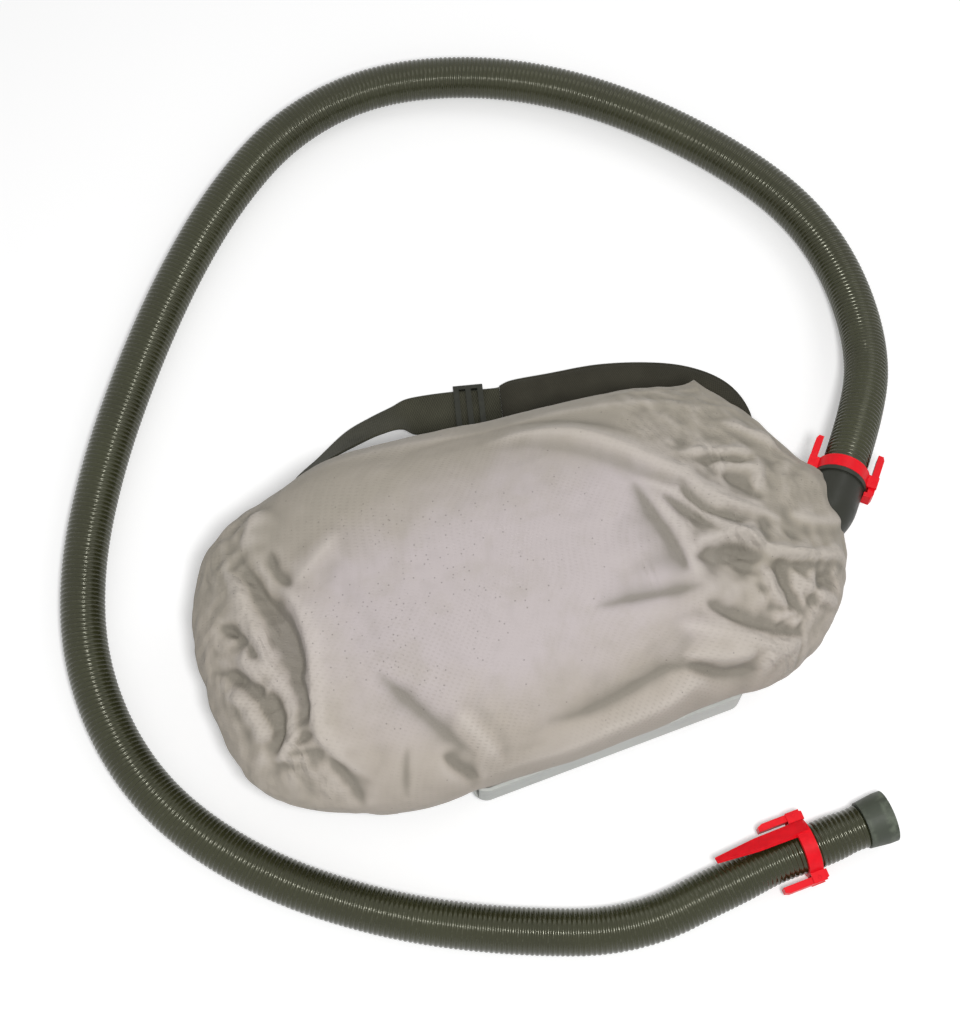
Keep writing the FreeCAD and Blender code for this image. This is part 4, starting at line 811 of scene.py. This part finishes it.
def fold_cover(cover, shares):
    """Lifts and sinks the settled cloth into its folds, never into what lies under it."""
    mesh, shares = cover.data, np.array(shares)
    places, evened = point_rows(mesh, "co"), evener(mesh)
    lift = fold_height(places, shares)
    lift = evened(0.5 * lift + 0.5 * evened(lift))
    made = places + point_rows(mesh, "normal") * lift[:, None]
    made[:, :2] += uneven_outline(places, shares)
    made[:, 2] = np.maximum(made[:, 2], np.minimum(places[:, 2], inner_heights(made) + cloth_gap))
    mesh.vertices.foreach_set("co", made.reshape(-1))
    # The valley attribute: painted shade in grooves and concave creases above zero, a painted highlight on ridges
    # below zero
    even = lift
    for _ in range(26):
        even = evened(even)
    valley = mesh.attributes.new("valley", "FLOAT", "POINT")
    valley.data.foreach_set("value", np.clip(-lift / valley_shade_depth + (even - lift) / crease_shade_depth, -1, 1))
    mesh.update()


def hem_gathers(cover, shares):
    """Small pleats where the elastic draws in the hem."""
    for vertex, share in zip(cover.data.vertices, shares):
        if share > 0.8:
            out = Vector((vertex.co.x - cover_centre.x, vertex.co.y - cover_centre.y, 0)).normalized()
            wave = noise.noise(Vector((out.x * 14, out.y * 14, share * 2)))
            wave += 0.6 * noise.noise(Vector((out.x * 34, out.y * 34, 7 + share * 2)))
            vertex.co += out * (gather_height * wave * bell(share - gather_share, gather_width))


# ======== the cover's fall
cover_grid, carcass_grid = (129, 89), (71, 49)
settling_frames = 30
knot_fullness = ((gather_knot, 0.35), (end_knot, 0.25))
fullness_reach_squared = 0.0081
cloth_thickness = 0.0015
pins_from, hem_from, loose_pin = 0.62, 0.94, 0.12  # shares of the side, and the upper pins' weight
cloth_settings = {"quality": 5, "mass": 0.12, "tension_stiffness": 25, "compression_stiffness": 25,
                  "shear_stiffness": 12, "bending_stiffness": 3, "tension_damping": 12,
                  "compression_damping": 12, "bending_damping": 0.8, "air_damping": 3, "pin_stiffness": 1.5}


def cut_shape(points):
    """The cloth as it was cut: fuller at the two slack ends than the body is."""
    out = []
    for p in points:
        q = p.copy()
        slack = max(ease(p.x, 0.1, 0.2), ease(-p.x, 0.16, 0.23))
        for knot, extra in knot_fullness:
            dx, dy = q.x - knot.x, q.y - knot.y
            fade = extra * exp(-hypot(dx, dy) ** 2 / fullness_reach_squared)
            q.x, q.y = q.x + dx * fade, q.y + dy * fade
        q.y = cover_middle[1] + (q.y - cover_middle[1]) * (1 + 0.06 * slack)
        q.z *= 1 + 0.04 * slack
        out.append(q)
    return out


def carcass_point(p):
    """The body that the cloth lies on: the frame and the full bag, a little lower at the slack ends."""
    slack = max(ease(p.x, 0.1, 0.2), ease(-p.x, 0.15, 0.22))
    height = ease(p.z, 0.06, 0.11)
    out = Vector((p.x - cover_centre.x, p.y - cover_centre.y, 0))
    inward = out.normalized() * (0.002 + 0.003 * slack) if out.length > 1e-6 else out
    return p - inward - Vector((0, 0, height * (0.0035 + 0.0045 * slack)))


def settle_cloth(cloth, carcass, pins):
    """Lets the cloth fall onto its carcass and says where it comes to lie."""
    carcass.modifiers.new("collide", "COLLISION")
    carcass.collision.thickness_outer = cloth_thickness
    carcass.collision.cloth_friction = 12
    group = cloth.vertex_groups.new(name="pins")
    for index, weight in pins:
        group.add([index], weight, "REPLACE")
    modifier = cloth.modifiers.new("cloth", "CLOTH")
    for name, value in cloth_settings.items():
        setattr(modifier.settings, name, value)
    modifier.settings.vertex_group_mass = "pins"
    modifier.settings.rest_shape_key = cloth.data.shape_keys.key_blocks["cut"]
    modifier.collision_settings.distance_min = 0.0012
    modifier.collision_settings.collision_quality = 2
    modifier.point_cache.frame_start, modifier.point_cache.frame_end = 1, settling_frames
    for step in range(1, settling_frames + 1):
        scene.frame_set(step)
    graph = bpy.context.evaluated_depsgraph_get()
    settled = [v.co.copy() for v in cloth.evaluated_get(graph).data.vertices]
    scene.frame_set(1)
    return settled


def let_fall(cover, points, shares, material):
    """The cover from its cut shape, come to rest on a carcass of its own."""
    for vertex, share in zip(cover.data.vertices, shares):
        vertex.co += vertex.normal * (0.002 * ease(0.95 - share, 0, 0.1) * noise.noise(vertex.co * 45))
    cover.shape_key_add(name="Basis")
    cut = cover.shape_key_add(name="cut")
    for point, place in zip(cut.data, cut_shape(points)):
        point.co = place
    cut.value = 0
    inner, inner_faces, _, _ = dome_mesh(*carcass_grid)
    carcass = finish_piece("carcass", [carcass_point(p) for p in inner], inner_faces, material, body=None)
    pins = [(k, 1 if share > hem_from else loose_pin) for k, share in enumerate(shares) if share > pins_from]
    settled = settle_cloth(cover, carcass, pins)
    bpy.data.objects.remove(carcass)
    cover.modifiers.clear()
    cover.shape_key_clear()
    for vertex, place in zip(cover.data.vertices, settled):
        vertex.co = place
    cover.vertex_groups.clear()


def build_cover():
    """The cloth cover: let fall on its carcass, then laid in its folds."""
    points, faces, uvs, shares = dome_mesh(*cover_grid)
    material = cover_cloth()
    cover = finish_piece("filter_cloth", points, faces, material, slot="cover_cloth",
                         replaces=["filter_cover"], uvs=uvs)
    let_fall(cover, points, shares, material)
    share_layer = cover.data.attributes.new("share", "FLOAT", "POINT")
    share_layer.data.foreach_set("value", shares)
    subdivide(cover, 2)
    shares = [value.value for value in cover.data.attributes["share"].data]
    fold_cover(cover, shares)
    hem_gathers(cover, shares)


# ======== straps and pads
webbing_width, webbing_thick = 0.038, 0.0018
# Each run of webbing: its name, what it stands for, its steps for a span and its rows in millimetres: x, y, z,
# heading and, where it leans, tilt
webbing_runs = [
    ("webbing_far_upper", ["strap_webbing_far_upper"], 6, [
        (160, 55.1, 21.1, 22), (184, 64.9, 21.1, 22), (195, 69.3, 14, 22), (204.7, 73.2, 6, 22)]),
    ("webbing_far_lower", ["strap_webbing_far_lower"], 10, [
        (57.7, 198.1, 5, 165), (50.8, 199.9, 3.2, 165), (9.2, 211.1, 3.2, 165), (-20, 216.5, 5, 170, 3),
        (-36, 217.5, 12.5, 178, 32), (-57, 216, 15, 184, 41), (-81, 211.5, 16.5, 194, 46),
        (-113, 200.5, 18.2, 199, 60), (-137, 189, 19, 214, 60), (-154, 163, 15.5, 243, 30), (-163, 128, 15, 266),
        (-165, 101, 21.1, 270), (-165, 77, 21.1, 270)]),
    ("webbing_near_upper", ["strap_webbing_near_upper"], 6, [
        (172, -49, 21.1, 270), (172, -73, 21.1, 270), (172, -92, 13, 270), (172, -108, 5.5, 270),
        (172, -123.5, 5, 270)]),
    ("webbing_near_lower", ["strap_webbing_near_lower"], 8, [
        (-40.5, -108, 5, 180), (-52.5, -108, 3.2, 180), (-95.5, -106, 3.2, 178), (-135, -100, 3.2, 171),
        (-176, -93, 3.2, 171)]),
    ("webbing_near_fold", [], 6, [
        (-165, -77, 21.1, 270), (-165, -88, 20.5, 270), (-165, -98, 13, 270), (-165, -107, 5.5, 270)]),
]
# Each shoulder pad: its name, what it stands for and its rows in millimetres: x, y, heading, width
shoulder_pads = [
    ("pad_far", "shoulder_pad_far", [
        (205, 73.3, 22, 40), (219, 81, 37, 50), (233, 96, 60, 56), (239, 114, 88, 56), (233, 134, 120, 56),
        (213, 152, 145, 56), (184, 166, 157, 56), (146, 178, 165, 56), (104, 187, 168, 52), (70, 195.2, 165, 47),
        (58, 198, 165, 41)]),
    ("pad_near", "shoulder_pad_near", [
        (152.7, -108, 180, 46), (138, -108, 180, 52), (100, -108, 180, 52), (40, -108, 180, 52), (0, -108, 180, 50),
        (-28, -108, 180, 47), (-40, -108, 180, 41)]),
]
pad_thick, pad_end, pad_lift = 0.01, 0.55, 0.0008  # pad_end: the share of the thickness that is left at the ends
# Half a padded strap's section, from the middle of its top round its bound edge to the underside
pad_half = [(0, 1), (0.22, 0.985), (0.45, 0.94), (0.65, 0.84), (0.8, 0.66), (0.885, 0.44), (0.905, 0.3),
            (0.93, 0.3), (0.97, 0.28), (1, 0.12), (1, -0.12), (0.97, -0.3), (0.92, -0.34), (0.9, -0.55),
            (0.84, -0.82), (0.74, -0.96), (0.5, -1), (0.2, -1)]
# Each back pad: its name and its two ends along X
back_pads = (("back_pad_upper", -0.034, 0.138), ("back_pad_lumbar", -0.192, -0.066))
back_pad_grid, back_pad_reach, back_pad_power = (41, 37), 0.074, 5
back_pad_top, back_pad_crown = 0.022, 0.009


def strip(name, rows, profile, material, steps, **options):
    """A strap through rows (x, y, z, heading, tilt, width, thickness): degrees and metres."""
    rows = catmull(rows, steps)
    points, uvs, passed = [], [], 0
    last = None
    for x, y, z, heading, tilt, width, thick in rows:
        turn, lean = radians(heading), radians(tilt)
        level = Vector((-sin(turn), cos(turn), 0))
        across = level * cos(lean) + Vector((0, 0, sin(lean)))
        up = Vector((0, 0, cos(lean))) - level * sin(lean)
        middle = Vector((x, y, z))
        if last is not None:
            passed += (middle - last).length
        last = middle
        for a, b in profile:
            points.append(middle + across * (a * width / 2) + up * (b * thick / 2))
            uvs.append((passed, a * width / 2))
    return finish_piece(name, points, tube_faces(len(rows), len(profile), True), material, uvs=uvs, **options)


def webbing_profile():
    """A flat strap's section: thin, with rounded edges and a slightly thicker selvedge."""
    top = [(a / 8, 1 if abs(a) < 7 else 1.12) for a in range(-7, 8)]
    side = [(0.97, 0.8), (1, 0), (0.97, -0.8)]
    return [(a, -b) for a, b in top + side] + top[::-1] + [(-a, b) for a, b in side]


def build_webbing(material):
    for name, replaced, steps, places in webbing_runs:
        rows = [(x / 1000, y / 1000, z / 1000, heading, *(tilt or [0]), webbing_width, webbing_thick)
                for x, y, z, heading, *tilt in places]
        strip(name, rows, webbing_profile(), material, steps, slot="webbing", replaces=replaced)


def build_pads(material):
    profile = (pad_half + [(-a, b) for a, b in reversed(pad_half[1:])])[::-1]
    for name, replaced, rows in shoulder_pads:
        sections = []
        for k, (x, y, heading, width) in enumerate(rows):
            thick = pad_thick * (pad_end if k in (0, len(rows) - 1) else 1)
            sections.append((x / 1000, y / 1000, pad_lift + thick / 2, heading, 0, width / 1000, thick))
        pad = strip(name, sections, profile, material, 14, slot="pad_cloth", replaces=[replaced])


def squared_disc(u, v):
    """A disc's place, moved out to fill a rounded square, and its share of the way from the middle."""
    share = hypot(u, v)
    length = (abs(u) ** back_pad_power + abs(v) ** back_pad_power) ** (1 / back_pad_power)
    return (u / length * share, v / length * share, share) if length > 1e-9 else (0, 0, share)


def build_back_pads(material):
    """Two foam pads under the harness plate: crowned, pressed flat where they rest, bound at their edges."""
    across, along = back_pad_grid
    rows, faces = disc_grid(across, along)
    places = [squared_disc(u, v) for u, v, _, _ in rows]
    count = len(rows)
    rim = [*range(across), *range(2 * across - 1, count, across), *range(count - 2, count - across - 1, -1),
           *range(count - 2 * across, 0, -across)]
    under = [tuple(reversed(face)) for face in faces]
    over = [tuple(i + count for i in face) for face in faces]
    sides = [(i, j, j + count, i + count) for i, j in zip(rim, rim[1:] + rim[:1])]
    for name, x0, x1 in back_pads:
        middle, a, b = (x0 + x1) / 2, (x1 - x0) / 2, back_pad_reach
        points = []
        for u, v, share in places:
            fall = ease(share, 0.72, 1)
            groove = 0.0016 * bell(share - 0.8, 0.015)
            z = max(0, back_pad_crown * fall ** 2 + groove - 0.0002 * (1 - fall))
            points.append(Vector((middle + u * a, v * b, z)))
        for u, v, share in places:
            inset = 1 - 0.05 * ease(share, 0.8, 1)
            z = back_pad_top - back_pad_crown * ease(share, 0.9, 1)
            points.append(Vector((middle + u * a * inset, v * b * inset, z)))
        uvs = [(u * a, v * b) for u, v, _ in places] * 2
        pad = finish_piece(name + "_cloth", points, under + over + sides, material, slot="pad_cloth",
                           replaces=[name], uvs=uvs)


# ======== floor and world
floor_reach, floor_z = 6.0, -0.0005


def white_when_seen(nodes, lit, seen):
    """The strength seen for the camera, mirrors and glass, and the strength lit for everything else."""
    path = nodes.node("LightPath").outputs
    mirrored = nodes.maths("MAXIMUM", path["Is Glossy Ray"], path["Is Transmission Ray"])
    direct = nodes.maths("MAXIMUM", path["Is Camera Ray"], mirrored)
    return nodes.maths("MULTIPLY_ADD", direct, seen - lit, lit)


def build_world():
    world = bpy.data.worlds.new("studio")
    scene.world = world
    world.use_nodes = True
    nodes = Nodes(world.node_tree)
    nodes.fill(nodes.tree.nodes["Background"], {0: (1, 1, 1, 1), 1: white_when_seen(nodes, 0.44, 1)})


def build_floor():
    material = bpy.data.materials.new("floor_white")
    material.use_nodes = True
    nodes = Nodes(material.node_tree)
    nodes.tree.nodes.clear()
    diffuse = nodes.node("BsdfDiffuse", {"Color": (0.9, 0.9, 0.9, 1)}).outputs[0]
    glow = nodes.node("Emission", {"Color": (1, 1, 1, 1), "Strength": white_when_seen(nodes, 0, 0.24)}).outputs[0]
    nodes.node("OutputMaterial", {0: nodes.node("AddShader", {0: diffuse, 1: glow}).outputs[0]})
    corners = [(x * floor_reach, y * floor_reach, floor_z) for x, y in ((-1, -1), (1, -1), (1, 1), (-1, 1))]
    floor = finish_piece("floor", corners, [(0, 1, 2, 3)], material, body=None, smooth=False)


# ======== everything
add_camera()
build_hose()
add_softbox("key", (-0.1, -0.6, 1.8), (0, 0.05, 0), 0.26, 20)
add_softbox("side", (1.2, 0.7, 1.3), (0, 0.1, 0), 0.8, 3)
build_world()
build_floor()
dress_cad_nodes()
build_cover()
webbing_cloth = woven("webbing_cloth", (0.018, 0.018, 0.011, 1), (0.078, 0.076, 0.052, 1), 0.0022)
pad_cloth = woven("pad_cloth", (0.016, 0.015, 0.01, 1), (0.058, 0.054, 0.038, 1), 0.0016, relief=0.00018)
build_webbing(webbing_cloth)
build_pads(pad_cloth)
build_back_pads(pad_cloth)

scene.view_settings.view_transform = "Standard"
